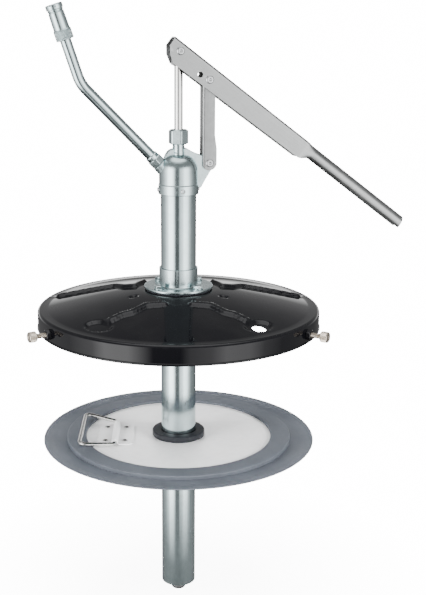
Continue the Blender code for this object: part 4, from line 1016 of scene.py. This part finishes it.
class PUMP_OT_head_screws(Operator):
    """Gland nut on the neck, and the four set screws with their hexagon sockets in the head's band."""
    bl_idname = "pump.head_screws"
    bl_label = "Gland Nut and Set Screws"

    def execute(self, context):
        low, high, half = GLAND_LOW.z, GLAND_HIGH.z, GLAND_HALF
        bore, lid = ROD_R + FIT, high - 4.2 * MM
        rows = ((NECK_R + FIT, 0, low, 0), (half - 1.0 * MM, 0, low, 0), (half, 1, low + 0.6 * MM, -0.55),
                (half, 1, high - 0.9 * MM, 0.62), (half - 0.9 * MM, 0, high - 0.15 * MM, 0),
                (half - 2.2 * MM, 0, high, 0), (bore + 0.8 * MM, 0, high, 0), (bore, 0, high - 0.8 * MM, 0),
                (bore, 0, lid, 0), (NECK_R + FIT, 0, lid, 0))
        nut = shape("gland_hexagon", [hexed(rows, 120)], upright(turn=GLAND_TURN))
        finished(nut, "root", "zinc_plate", "zinc_turned", "gland_nut")
        for k in range(4):
            node = "head_set_screw_%d" % (k + 1)
            angle = pi / 2 * k
            out = outward(angle)
            reach = BAND_R + 1.6 * MM - TUBE_FIT_R
            socket = 1.35 * MM
            rows = ((0, 0, 0, 0), (2.6 * MM, 0, 0, 0), (2.6 * MM, 0, reach - 0.5 * MM, 0),
                    (2.1 * MM, 0, reach, 0), (socket + 0.2 * MM, 0, reach, 0),
                    (socket, 1, reach - 0.2 * MM, 0), (socket, 1, reach - 1.6 * MM, 0),
                    (0, 0, reach - 2.0 * MM, 0))
            spot = out * TUBE_FIT_R + np.array((0, 0, middle(node)[2]))
            screw = shape("socket_screw_%d" % (k + 1), [hexed(rows, 48, False)], aimed(spot, out))
            finished(screw, "root", "turned_steel", "turned_steel", node)
        return {"FINISHED"}


# ---------------------------------------------------------------- spout

def pipe_path():
    """Outlet's line, an arc that turns it up to the spout's line, and on into the coupler. On the arc the
    direction's angle grows evenly, so a point is the integral of the direction."""
    reach = PIPE_BEND_R * tan((PIPE_TILT - OUTLET_TILT) / 2)
    first = OUTLET_ROOT + OUTLET * (BOSS_END + 1 * MM)
    bend = OUTLET_ROOT + OUTLET * (PIPE_RUN - reach)
    angle = np.linspace(OUTLET_TILT, PIPE_TILT, 24)[:, None]
    turn = np.hstack((sin(OUTLET_TILT) - np.sin(angle), 0 * angle, cos(OUTLET_TILT) - np.cos(angle)))
    curve = bend + PIPE_BEND_R * turn
    share = np.linspace(0, 1, 20)[:-1, None]
    return np.vstack((first + (bend - first) * share, curve,
                      curve[-1] + (COUPLER + SPOUT * 9 * MM - curve[-1]) * share[1:]))


class PUMP_OT_spout(Operator):
    """Outlet nut and the bent pipe."""
    bl_idname = "pump.spout"
    bl_label = "Spout"

    def execute(self, context):
        pipe = shape("spout_pipe", [swept(pipe_path(), (0, 1, 0), circle(PIPE_R, 64))])
        finished(pipe, "root", "zinc_plate", "zinc_drawn", "outlet_pipe")
        half, bore = 8 * MM, PIPE_R + FIT
        step = 8.6 * MM
        rows = ((bore, 0, 0, 0), (half - 0.6 * MM, 0, 0, 0), (half, 1, 0.4 * MM, -0.5),
                (half, 1, step - 0.4 * MM, 0.5), (half - 0.3 * MM, 0, step, 0),
                (7.5 * MM, 0, step + 0.2 * MM, 0), (7.5 * MM, 0, OUTLET_NUT - 0.8 * MM, 0),
                (6.9 * MM, 0, OUTLET_NUT, 0), (bore, 0, OUTLET_NUT, 0))
        nut = shape("outlet_hexagon", [hexed(rows, 96)],
                    aimed(OUTLET_ROOT + OUTLET * (BOSS_END + FIT), OUTLET, (0, 1, 0)))
        finished(nut, "root", "zinc_plate", "zinc_turned", "outlet_nut")
        return {"FINISHED"}


class PUMP_OT_coupler(Operator):
    """Filler coupler: diamond knurl, smooth sleeve and its end collar."""
    bl_idname = "pump.coupler"
    bl_label = "Coupler"

    def execute(self, context):
        place = aimed(COUPLER, SPOUT, (0, 1, 0))
        bore, seat = 4.95 * MM, 10 * MM
        outline = softened(((PIPE_R + FIT, 0), (9.5 * MM, 0), (10.1 * MM, 0.7 * MM), (10.1 * MM, 11 * MM),
                            (9.2 * MM, 11.9 * MM), (9.1 * MM, 20 * MM), (8.9 * MM, 30.6 * MM),
                            (8.3 * MM, 31 * MM), (8.3 * MM, 32 * MM), (8.9 * MM, 32.4 * MM),
                            (8.9 * MM, COUPLER_BODY), (6.5 * MM, COUPLER_BODY),
                            (6.5 * MM, 22 * MM), (bore, 22 * MM), (bore, seat), (PIPE_R + FIT, seat)),
                           0.35 * MM, 4)
        outline = refined(np.vstack((outline, outline[:1])), 0.33 * MM)[:-1]
        knurl = crossed_knurl(0.7 * MM, 11 * MM, 26, 2600.0)
        body = shape("coupler_sleeve", [turned(outline, 260, knurl)], place)
        finished(body, "root", "zinc_plate", "zinc_turned", "coupler_body")
        low, high = COUPLER_BODY + FIT, COUPLER_END
        outline = softened(((5.2 * MM, low), (9.7 * MM, low), (9.7 * MM, high - 0.8 * MM),
                            (8.9 * MM, high), (6.2 * MM, high), (5.2 * MM, high - 1 * MM)), 0.35 * MM, 4)
        collar = shape("coupler_ring", [turned(outline, 120)], place)
        origin, axes = place
        camera_side = -axes[0]
        hole = origin + axes[2] * (low + 3 * MM) + camera_side * 9.7 * MM
        notch = origin + axes[2] * high + camera_side * 6 * MM + axes[1] * 5 * MM
        carved(collar, [drill(1.0 * MM, hole, camera_side, 5 * MM, 20),
                        drill(1.7 * MM, notch, camera_side, 14 * MM, 28)])
        finished(collar, "root", "zinc_plate", "zinc_turned", "coupler_collar")
        return {"FINISHED"}


# ---------------------------------------------------------------- lever

def lever_half(along, steps=48):
    """Outer half section at each distance along the lever: cheek, bend and top of the channel, which turn
    by a soft step into the arc of the rolled grip."""
    v = np.linspace(0, 1, steps)[None, :]
    along = along[:, None]
    depth = LEVER_DEPTHS[0] + (LEVER_DEPTHS[1] - LEVER_DEPTHS[0]) * np.clip(along / LEVER_CHANNEL, 0, 1)
    foot, flat = LEVER_TOP - LEVER_BEND, LEVER_HALF - LEVER_BEND
    bend = (v - 0.5) / 0.25 * pi / 2
    zone = [v < 0.5, v < 0.75]
    y = np.select(zone, [LEVER_HALF + 0 * along * v, flat + LEVER_BEND * np.cos(bend) + 0 * along],
                  flat * (1 - (v - 0.75) / 0.25) + 0 * along)
    t = np.select(zone, [-depth + (foot + depth) * v / 0.5, foot + LEVER_BEND * np.sin(bend) + 0 * along],
                  LEVER_TOP + 0 * along * v)
    angle = GRIP_SEAM - pi / 2 + (pi - GRIP_SEAM) * v
    share = smooth((along - LEVER_CHANNEL) / LEVER_TAPER)
    y = y + (GRIP_R * np.cos(angle) - y) * share
    t = t + (LEVER_TOP - GRIP_R + GRIP_R * np.sin(angle) - t) * share
    return y, t


def lever_skin():
    """Sheet of the lever: the outer half sections and their inner offsets, mirrored and closed. The rows
    at the nose are sheared, so that the front edge slopes back under the pin."""
    stations = np.concatenate((np.linspace(0, 1, 12)[:-1] * 20 * MM,
                               np.linspace(20 * MM, LEVER_CHANNEL - 4 * MM, 24),
                               np.linspace(LEVER_CHANNEL - 2 * MM, LEVER_CHANNEL + LEVER_TAPER, 26),
                               np.linspace(LEVER_CHANNEL + LEVER_TAPER + 6 * MM, LEVER_END, 22)))
    y, t = lever_half(stations)
    slope_y, slope_t = np.gradient(y, axis=1), np.gradient(t, axis=1)
    length = np.hypot(slope_y, slope_t)
    inner_y = y - slope_t / length * LEVER_SHEET
    inner_t = t + slope_y / length * LEVER_SHEET
    inner_y[:, -1] = 0
    y = np.hstack((-y, y[:, -2::-1], inner_y, -inner_y[:, -2::-1]))
    t = np.hstack((t, t[:, -2::-1], inner_t, inner_t[:, -2::-1]))
    nose = np.interp(t, np.array((-16, -10.4, -2.4, 9.4)) * MM, np.array((2, -7.2, -13.4, -13.4)) * MM)
    along = stations[:, None] + nose * np.clip(1 - stations[:, None] / (20 * MM), 0, 1)
    end = smooth((stations[:, None] - 300 * MM) / (46 * MM)) * (LEVER_TOP - GRIP_R - t) * 0.10
    return capped_skin(along + end, y, t)


class PUMP_OT_lever(Operator):
    """Pressed lever: a channel over the linkage that runs into a rolled grip."""
    bl_idname = "pump.lever"
    bl_label = "Lever"

    def execute(self, context):
        lever = shape("lever_pressing", [lever_skin()], LEVER, sharp=40)
        spot = np.array((SPARE_HOLE[0], 0, SPARE_HOLE[1])) @ LEVER[1] + LEVER[0]
        carved(lever, [drill(PIN_R + FIT, spot, (0, 1, 0), 40 * MM, 40)], sharp=40)
        finished(bevelled(lever, 0.4 * MM, 2, 60), "lever", "satin_steel", "satin_lever", "lever")
        return {"FINISHED"}


# ---------------------------------------------------------------- link, pins and rod

def link_outline():
    """Side of the link: round top, straight flanks, a soft joggle and a wider round foot."""
    top_x, foot_x = LINK_TOP[0], EAR_PIN[0]
    low, joggle = LINK_WEB[0], LINK_WEB[0] - 14 * MM
    back = top_x - LINK_TOP_R - 0.6 * MM
    flanks_left = np.array(((back, low + 4 * MM), (foot_x - LINK_FOOT_R, joggle)))
    flanks_right = np.array(((foot_x + LINK_FOOT_R, joggle), (top_x + LINK_TOP_R, low + 2 * MM)))
    return np.vstack((arc((top_x, LINK_TOP[2]), LINK_TOP_R, 0, 180, 24), flanks_left,
                      arc((foot_x, EAR_PIN[2]), LINK_FOOT_R, 180, 360, 24), flanks_right))


def link_skin():
    """Channel of bent sheet, upright: a C section that is the same at every height, narrower above the
    joggle, where it goes into the lever."""
    back, front, bend = LINK_TOP[0] - LINK_TOP_R, 50 * MM, 3.2 * MM
    outer = softened(((front, -LINK_HALF), (back, -LINK_HALF), (back, LINK_HALF), (front, LINK_HALF)),
                     np.array((0, bend, bend, 0)), 9, closed=False)
    half, near = LINK_HALF - LINK_SHEET, back + LINK_SHEET
    inner = softened(((front, half), (near, half), (near, -half), (front, -half)),
                     np.array((0, bend, bend, 0)) * 0.4, 9, closed=False)
    x, y = np.vstack((outer, inner)).T[:, None]
    height = np.linspace(EAR_PIN[2] - 15 * MM, LINK_TOP[2] + 12 * MM, 60)[:, None]
    narrow = 1 - 0.055 * smooth((height - 186 * MM) / (15 * MM))
    return capped_skin(x, y * narrow, height)


def rivet_outline(half, both=True):
    """Riveted pin: shank, and heads with a broad dome and a dimple struck in the middle. With both off,
    only the upper head."""
    end = half + PIN_HEAD
    head = np.array(((PIN_R, half), (PIN_HEAD_R, half), (PIN_HEAD_R, half + 0.45 * MM),
                     (3.7 * MM, end - 0.15 * MM), (2.6 * MM, end), (1.5 * MM, end - 0.15 * MM),
                     (0.9 * MM, end - 0.7 * MM), (0, end - 0.75 * MM)))
    if both:
        head = np.vstack((head[::-1] * np.array((1, -1)), head))
    return softened(head, 0.4 * MM, 5, closed=False)


class PUMP_OT_link(Operator):
    """Link between the head's ear and the lever: a bent channel with a fork at each end."""
    bl_idname = "pump.link"
    bl_label = "Link"

    def execute(self, context):
        link = shape("link_channel", [link_skin()])
        outline = shape("link_side", [slab(link_outline(), -20 * MM, 20 * MM)])
        carved(link, [outline], "INTERSECT")
        half = LINK_HALF - LINK_SHEET - 0.6 * MM
        near, far = 10 * MM, LINK_TOP[0] - LINK_TOP_R + 5 * MM
        gaps = []
        for low, high in ((100 * MM, LINK_WEB[0]), (LINK_WEB[1], 300 * MM)):
            corners = ((near, low), (far, low), (far, high), (near, high))
            gaps.append(shape("gap", [slab(corners, -half, half)]))
        carved(link, gaps)
        finished(bevelled(link, 0.35 * MM, 2, 50), "link", "satin_steel", "satin_link", "lever_link")
        return {"FINISHED"}


class PUMP_OT_pins(Operator):
    """Riveted pins of the linkage, and the two studs in the lever's cheeks."""
    bl_idname = "pump.pins"
    bl_label = "Pins"

    def execute(self, context):
        for name, node, body, spot, half in (
                ("ear_rivet", "ear_pin", "root", EAR_PIN, LINK_HALF + FIT),
                ("rod_rivet", "rod_pin", "rod", np.array((0, 0, ROD_PIN_Z)), LEVER_HALF + FIT)):
            pin = shape(name, [turned(rivet_outline(half), 48, closed=False)], aimed(spot, (0, -1, 0)))
            finished(pin, body, "turned_steel", "turned_steel", node)
        for k, side in enumerate((-1, 1)):
            end = LEVER_HALF + FIT
            inner = LEVER_HALF - LEVER_SHEET - FIT
            head = rivet_outline(end, False)
            outline = np.vstack((((0, inner), (PIN_R, inner), (PIN_R, end - 0.01 * MM)), head[1:]))
            stud = shape("link_stud_%d" % (k + 1), [turned(outline, 48, closed=False)],
                         aimed((LINK_TOP[0], 0, LINK_TOP[2]), (0, side, 0)))
            finished(stud, "lever", "turned_steel", "turned_steel", "link_pivot_stud_%d" % (k + 1))
        return {"FINISHED"}


class PUMP_OT_rod(Operator):
    """Ground pump rod, and the priming foot under the barrel."""
    bl_idname = "pump.rod"
    bl_label = "Pump Rod"

    def execute(self, context):
        outline = softened(((0, ROD_LOW.z), (ROD_R, ROD_LOW.z), (ROD_R, ROD_HIGH.z), (0, ROD_HIGH.z)),
                           0.6 * MM, closed=False)
        rod = shape("ground_rod", [turned(outline, 64, closed=False)])
        finished(rod, "rod", "turned_steel", "bright_rod", "pump_rod")
        low, high, radius = FOOT_LOW.z, FOOT_HIGH.z, FOOT_HIGH.x
        outline = softened(((0, low), (radius - 1.5 * MM, low), (radius, low + 3 * MM), (radius, high),
                            (0, high)), np.array((0, 1.2, 1.6, 0.6, 0)) * MM, 6, closed=False)
        foot = shape("priming_foot", [turned(outline, closed=False)])
        finished(foot, "rod", "turned_steel", "turned_steel", "primer_foot")
        return {"FINISHED"}


# ---------------------------------------------------------------- follower and bail

class PUMP_OT_follower(Operator):
    """Follower plate: steel disc, rubber clamp ring, wide lip and the collar that wipes the barrel."""
    bl_idname = "pump.follower"
    bl_label = "Follower"

    def execute(self, context):
        low, top = DISC_LOW.z, DISC_HIGH.z
        neck = TUBE_FIT_R + 3 * MM
        disc_r = RING_OUT_R - 2.5 * MM
        corners = ((neck + FIT, low), (disc_r, low), (disc_r, top), (neck + FIT, top))
        outline = softened(corners, 0.25 * MM, 3)
        disc = shape("follower_sheet", [turned(outline, 200)])
        finished(disc, "follower", "sheet_steel", "rolled_sheet", "follower_disc")
        ring = top + FIT
        outline = softened(((RING_IN_R, ring), (disc_r + FIT, ring), (disc_r + FIT, low), (RING_OUT_R, low),
                            (RING_OUT_R, ring + RING_H), (RING_IN_R, ring + RING_H)),
                           np.array((0.1, 0.1, 0.1, 0.1, 1.6, 1.4)) * MM, 7)
        clamp = shape("clamp_ring_rubber", [turned(outline, 220)])
        finished(clamp, "follower", "slate_rubber", "slate_rubber", "follower_clamp_ring")
        lip = low - FIT
        radius = np.linspace(LIP_IN_R, LIP_R - 0.6 * MM, 40)
        rise = LIP_RISE * smooth((radius - LIP_R + 19 * MM) / (19 * MM)) ** 1.5
        upper = np.stack((radius, lip + rise), -1)
        edge = arc((LIP_R - 0.7 * MM, lip + LIP_RISE - 0.7 * MM), 0.7 * MM, 80, -80, 8)
        under_radius = np.linspace(LIP_R - 1 * MM, LIP_IN_R, 24)
        under_rise = LIP_RISE * smooth((under_radius - LIP_R + 19 * MM) / (19 * MM))
        under = np.stack((under_radius, lip - LIP_H + 1.6 * MM * smooth((under_radius - LIP_R + 12 * MM)
                                                                      / (12 * MM)) + under_rise), -1)
        seal = shape("lip_rubber", [turned(np.vstack((upper, edge, under)), 240)])
        finished(seal, "follower", "slate_rubber", "slate_rubber", "follower_lip_seal")
        outer, foot, head = FOLLOWER_COLLAR_R, lip - 2.8 * MM, ring + FOLLOWER_COLLAR_H
        outline = softened(((TUBE_FIT_R, foot), (outer - 2 * MM, foot), (outer - 2 * MM, lip), (neck, lip),
                            (neck, ring), (outer, ring), (outer, head), (TUBE_FIT_R, head)),
                           np.array((0.3, 0.8, 0.1, 0.1, 0.1, 0.4, 1.8, 0.8)) * MM, 6)
        wiper = shape("collar_rubber", [turned(outline, 140)])
        finished(wiper, "follower", "dark_rubber", "dark_rubber", "follower_collar_seal")
        return {"FINISHED"}


def bail_axle():
    """Frame of the bail: its axle over the strap, tipped so that the wire lies on the clamp ring."""
    edge = (RING_IN_R ** 2 - (STRAP_Y / 2 - BAIL_Y) ** 2) ** 0.5
    room = edge - FOLLOWER_COLLAR_R - STRAP_X
    x = -(FOLLOWER_COLLAR_R + BAIL_PLACE * room + STRAP_X / 2)
    across = (BAIL_AXLE + BAIL_SPREAD) / 4 - BAIL_Y
    reach = (RING_IN_R ** 2 - across ** 2) ** 0.5 + x
    lift = asin((DISC_HIGH.z + RING_H + 3 * FIT + BAIL_R - BAIL_Z) / reach)
    return x, inside(PATTERN, tilted((x, BAIL_Y, BAIL_Z), lift))


def rounded_loop(corners, radius, steps=10):
    """Closed flat loop with round corners, as (x, y) pairs: an arc between the two tangent points."""
    corner = np.array(corners, float)
    back = np.roll(corner, 1, 0) - corner
    ahead = np.roll(corner, -1, 0) - corner
    back = back / np.linalg.norm(back, axis=1, keepdims=True)
    ahead = ahead / np.linalg.norm(ahead, axis=1, keepdims=True)
    half = np.arccos((back * ahead).sum(1, keepdims=True)) / 2
    middle_way = (back + ahead) / np.linalg.norm(back + ahead, axis=1, keepdims=True)
    centre = corner + middle_way * radius / np.sin(half)
    start = corner + back * radius / np.tan(half) - centre
    end = corner + ahead * radius / np.tan(half) - centre
    turn = (pi - 2 * half)[:, None]
    share = np.linspace(0, 1, steps)[None, :, None]
    curve = start[:, None] * np.sin(turn * (1 - share)) + end[:, None] * np.sin(turn * share)
    curve = curve / np.sin(turn)
    return (centre[:, None] + curve).reshape(-1, 2)


def strap_skin(inner, outer):
    """Strap with a hump over the axle, carried along Y; near its ends the sides are clipped to round the
    corners of the plate."""
    half, rise = STRAP_X / 2, BAIL_R + FIT
    section = np.vstack((((-half, 0), (-inner - 1 * MM, 0)), arc((0, rise), inner, 190, -10, 18),
                         ((inner + 1 * MM, 0), (half, 0), (half, STRAP_SHEET),
                          (outer + 1.2 * MM, STRAP_SHEET)),
                         arc((0, rise), outer, -4, 184, 18),
                         ((-outer - 1.2 * MM, STRAP_SHEET), (-half, STRAP_SHEET))))
    corner = 6 * MM
    near = np.linspace(0, 1, 9) ** 2 * corner
    y = np.concatenate((near - STRAP_Y / 2, (STRAP_Y / 2 - near)[::-1]))[:, None]
    inset = np.clip(corner - (STRAP_Y / 2 - np.abs(y)), 0, corner)
    limit = half - (corner - np.sqrt(corner ** 2 - inset ** 2))
    x = np.clip(section[None, :, 0], -limit, limit)
    return capped_skin(x, y, section[None, :, 1])


class PUMP_OT_bail(Operator):
    """Wire bail, the strap that holds it, and four rivets."""
    bl_idname = "pump.bail"
    bl_label = "Bail"

    def execute(self, context):
        x, axle = bail_axle()
        strap_place = inside(PATTERN, upright((x, BAIL_Y, DISC_HIGH.z + FIT)))
        inner = BAIL_R + FIT
        strap = shape("strap_plate", [strap_skin(inner, inner + STRAP_SHEET)], strap_place, sharp=50)
        finished(bevelled(strap, 0.25 * MM, 2, 60), "follower", "sheet_steel", "rolled_sheet", "bail_strap")
        corners = ((0, -BAIL_AXLE / 2), (-BAIL_REACH, -BAIL_SPREAD / 2), (-BAIL_REACH, BAIL_SPREAD / 2),
                   (0, BAIL_AXLE / 2))
        loop = rounded_loop(corners, BAIL_CORNER)
        path = np.hstack((loop, np.zeros((len(loop), 1))))
        wire = shape("bail_loop_wire", [swept(path, (0, 0, 1), circle(BAIL_R, 24), closed=True)], axle)
        finished(wire, "bail", "bright_wire", "bright_wire", "bail_wire")
        for k in range(4):
            node = "bail_rivet_%d" % (k + 1)
            low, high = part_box(node)
            spot = middle(node)
            seat = high.z - 1.6 * MM
            outline = softened(((0, low.z), (2 * MM, low.z), (2 * MM, seat), (3.4 * MM, seat),
                                (3.2 * MM, seat + 0.8 * MM), (1.6 * MM, high.z), (0, high.z)),
                               0.6 * MM, 6, closed=False)
            rivet = shape("dome_rivet_%d" % (k + 1), [turned(outline, 36, closed=False)],
                          upright((spot[0], spot[1], 0)))
            finished(rivet, "follower", "bright_wire", "bright_wire", node)
        return {"FINISHED"}


# ---------------------------------------------------------------- pieces that keep the frame's shape

KEPT = {
    "turned_steel": ("cover_backing_ring", "rod_eye", "primer_rod", "piston", "piston_valve_plate",
                     "foot_valve_plate", "foot_valve_seat", "foot_snap_ring"),
    "dark_rubber": ("flange_gasket", "head_o_ring", "gland_packing", "coupler_seal", "piston_cup_seal"),
    "zinc_turned": ("piston_nut",),
}


class PUMP_OT_inner_parts(Operator):
    """Finishes for the inner pieces, which keep the frame's own shapes."""
    bl_idname = "pump.inner_parts"
    bl_label = "Inner Parts"

    def execute(self, context):
        for finish, nodes in KEPT.items():
            for name in nodes:
                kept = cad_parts[name]
                kept.data.materials.clear()
                kept.data.materials.append(material(finish))
        return {"FINISHED"}


# ---------------------------------------------------------------- studio

def area_light(name, spot, target, size, power):
    """Rectangular light that looks at a target. It isn't mirrored in shiny pieces."""
    data = bpy.data.lights.new(name, "AREA")
    data.shape = "RECTANGLE"
    data.size, data.size_y = size
    data.energy = power
    made = bpy.data.objects.new(name, data)
    made.location = spot
    made.rotation_euler = (Vector(target) - Vector(spot)).to_track_quat("-Z", "Y").to_euler()
    made.visible_glossy = False
    bpy.context.scene.collection.objects.link(made)


# Light round the pump at its own height and below: (degrees right of the camera, brightness)
ROUND_LIGHT = ((-180, 0.16), (-150, 0.22), (-128, 0.40), (-96, 0.95), (-72, 2.8), (-60, 6.5), (-40, 6.5),
               (-29, 3.2), (-20, 0.22), (2, 0.16), (9, 1.6), (26, 2.4), (38, 4.6), (58, 3.8), (72, 1.4),
               (90, 0.45), (140, 0.18), (180, 0.16))
# Light behind the pump: (sine of the height angle, brightness)
BACK_LIGHT = ((-0.2, 0.2), (0.0, 2.2), (0.1, 1.8), (0.2, 0.50), (0.4, 0.30), (0.7, 0.22))
# Each is where it starts and ends to take over, as the sine of the height angle, and its brightness
ABOVE_RING = (0.24, 0.46, 0.05)
CEILING = (0.80, 0.94, 0.40)
PIT = (-0.74, -0.50, 0.01)
BEHIND = (2.1, 2.7)             # angle off the camera's side where the light behind takes over
BEHIND_LOW = (-0.10, 0.0)       # and the sine of the height angle
BRIGHTEST = 6.5
BACKDROP = 16.0                 # brightness of the backdrop as the camera sees it
FLOOR_FADE = (0.08, 0.34)       # distance from the axis where the floor starts to clear, and is gone
FLOOR_GLOW = 0.6                # share of the backdrop's glow in the floor
BARE_FLOOR = 0.10               # how pale the floor is in reflections
OVERHEAD_POWER, FILL_POWER = 62, 52
FILL_REACH, FILL_HEIGHT = 1.3, 0.42
# Name, and share of the reach to the camera's right and towards the camera
FILLS = (("left", -1.0, 0.5), ("right", 1.0, 0.5), ("front", 0.1, 1.3), ("back", 0.0, -1.2))
CAMERA_SHIFT = 0.058


def light_ramp(tree, value, levels):
    """Brightness between stops, each (place from 0 to 1, brightness), as a share of the brightest."""
    ramp = add(tree, "ShaderNodeValToRGB", {0: value})
    stops = ramp.color_ramp.elements
    stops.remove(stops[-1])
    for k, (place, level) in enumerate(levels):
        stop = stops[0] if k == 0 else stops.new(place)
        stop.position = place
        stop.color = grey(level / BRIGHTEST)
    return ramp.outputs[0]


def studio_world(azimuth):
    """White to the camera. To the pump it is a ring of soft panels with dark gaps, and a soft ceiling."""
    world = bpy.data.worlds.new("Studio")
    world.use_nodes = True
    tree = world.node_tree
    tree.nodes.clear()
    way = add(tree, "ShaderNodeSeparateXYZ", {0: add(tree, "ShaderNodeTexCoord").outputs["Generated"]})
    x, y, z = way.outputs
    angle = math(tree, "ARCTAN2", x, math(tree, "MULTIPLY", y, -1.0))
    angle = math(tree, "WRAP", math(tree, "SUBTRACT", angle, azimuth), pi, -pi)
    ring = light_ramp(tree, ranged(tree, angle, -pi, pi),
                      [(degrees / 360 + 0.5, level) for degrees, level in ROUND_LIGHT])
    back = light_ramp(tree, ranged(tree, z, -1, 1), [(sine / 2 + 0.5, level) for sine, level in BACK_LIGHT])
    behind = math(tree, "MULTIPLY", ranged(tree, math(tree, "ABSOLUTE", angle), *BEHIND),
                  ranged(tree, z, *BEHIND_LOW))
    ring = mixed(tree, ranged(tree, z, *ABOVE_RING[:2]), ring, grey(ABOVE_RING[2]))
    lit = mixed(tree, behind, ring, back)
    lit = mixed(tree, ranged(tree, z, *CEILING[:2]), lit, grey(CEILING[2]))
    lit = mixed(tree, ranged(tree, z, *PIT[:2]), grey(PIT[2]), lit)
    seen = add(tree, "ShaderNodeBackground", {"Color": grey(1.0), "Strength": BACKDROP})
    felt = add(tree, "ShaderNodeBackground", {"Color": lit, "Strength": BRIGHTEST})
    path = add(tree, "ShaderNodeLightPath")
    mix = add(tree, "ShaderNodeMixShader", {0: path.outputs["Is Camera Ray"], 1: felt.outputs[0],
                                            2: seen.outputs[0]})
    tree.links.new(mix.outputs[0], add(tree, "ShaderNodeOutputWorld").inputs[0])
    bpy.context.scene.world = world


def floor_material(colour):
    """Pale floor that fades out towards its edge, so that the backdrop carries on without a line."""
    made, tree, shader = base_material("pale_floor", colour)
    shader.inputs["Base Color"].default_value = (*colour, 1)
    shader.inputs["Roughness"].default_value = 0.9
    shader.inputs["Specular IOR Level"].default_value = 0.1
    place = own_place(tree)
    level = add(tree, "ShaderNodeVectorMath", {0: place, 1: (1, 1, 0)}, operation="MULTIPLY")
    length = add(tree, "ShaderNodeVectorMath", {0: level.outputs[0]}, operation="LENGTH")
    fade = ranged(tree, length.outputs["Value"], *FLOOR_FADE)
    clear = add(tree, "ShaderNodeBsdfTransparent")
    glow = add(tree, "ShaderNodeEmission", {"Color": grey(1.0), "Strength": BACKDROP})
    path = add(tree, "ShaderNodeLightPath")
    seen = math(tree, "MULTIPLY", path.outputs["Is Camera Ray"], FLOOR_GLOW)
    bare = add(tree, "ShaderNodeBsdfDiffuse", {"Color": grey(BARE_FLOOR)})
    reflected = add(tree, "ShaderNodeMixShader", {0: path.outputs["Is Glossy Ray"], 1: shader.outputs[0],
                                                  2: bare.outputs[0]})
    lit = add(tree, "ShaderNodeMixShader", {0: seen, 1: reflected.outputs[0], 2: glow.outputs[0]})
    mix = add(tree, "ShaderNodeMixShader", {0: fade, 1: lit.outputs[0], 2: clear.outputs[0]})
    tree.links.new(mix.outputs[0], tree.nodes["Material Output"].inputs[0])
    return made


class PUMP_OT_stage(Operator):
    """Pale floor, soft studio light and the camera."""
    bl_idname = "pump.stage"
    bl_label = "Stage"

    def execute(self, context):
        look = context.scene.pump_stage
        azimuth = look.azimuth
        radius = np.linspace(0, 1.1, 12)
        outline = np.stack((radius, 0 * radius + CAD_BOX[0][2]), -1)
        floor = shape("floor", [turned(outline, 64, closed=False)])
        floor.data.materials.append(floor_material(tuple(look.floor)))
        studio_world(azimuth)
        out = np.array((sin(azimuth), -cos(azimuth), 0))
        right = np.array((cos(azimuth), sin(azimuth), 0))
        up = np.array((0, 0, 1))
        area_light("Overhead", 1.7 * up + 0.35 * out, (0, 0, 0), (1.4, 1.2), OVERHEAD_POWER)
        for name, across, near in FILLS:
            spot = FILL_REACH * (across * right + near * out) + FILL_HEIGHT * up
            area_light("Fill " + name, spot, (0, 0, DISC_HIGH.z), (0.6, 0.6), FILL_POWER)
        data = bpy.data.cameras.new("Camera")
        data.lens = look.lens
        data.sensor_width = 36
        data.shift_x = CAMERA_SHIFT
        camera = bpy.data.objects.new("Camera", data)
        camera.location = out * look.distance + up * look.height
        camera.rotation_euler = (pi / 2 - look.pitch, 0, azimuth)
        context.scene.collection.objects.link(camera)
        context.scene.camera = camera
        return {"FINISHED"}


class PUMP_PT_panel(Panel):
    """Lists the pump's pieces and settings."""
    bl_idname = "PUMP_PT_panel"
    bl_label = "Grease Filler Pump"
    bl_space_type = "VIEW_3D"
    bl_region_type = "UI"
    bl_category = "Pump"

    def draw(self, context):
        for operator in OPERATORS:
            self.layout.operator(operator.bl_idname)
        for group_name in SETTINGS:
            settings = getattr(context.scene, group_name)
            box = self.layout.box()
            for name in setting_names(settings):
                box.prop(settings, name)


SETTINGS = {"pump_surface": PumpSurfaceSettings, "pump_finish": PumpFinishSettings,
            "pump_stage": PumpStageSettings}
OPERATORS = (PUMP_OT_cover, PUMP_OT_thumb_screws, PUMP_OT_flange, PUMP_OT_barrel, PUMP_OT_head,
             PUMP_OT_head_screws, PUMP_OT_spout, PUMP_OT_coupler, PUMP_OT_lever, PUMP_OT_link,
             PUMP_OT_pins, PUMP_OT_rod, PUMP_OT_follower, PUMP_OT_bail, PUMP_OT_inner_parts, PUMP_OT_stage)


def register():
    """Make the operators, the panel and the settings known to Blender."""
    for made in (*SETTINGS.values(), *OPERATORS, PUMP_PT_panel):
        bpy.utils.register_class(made)
    for name, kind in SETTINGS.items():
        setattr(bpy.types.Scene, name, PointerProperty(type=kind))


def unregister():
    """Take them out again."""
    for name in SETTINGS:
        delattr(bpy.types.Scene, name)
    for made in (PUMP_PT_panel, *OPERATORS[::-1], *SETTINGS.values()):
        bpy.utils.unregister_class(made)


def main():
    """Build every piece and the stage."""
    register()
    for operator in OPERATORS:
        section, name = operator.bl_idname.split(".")
        getattr(getattr(bpy.ops, section), name)()


if __name__ == "__main__":
    main()
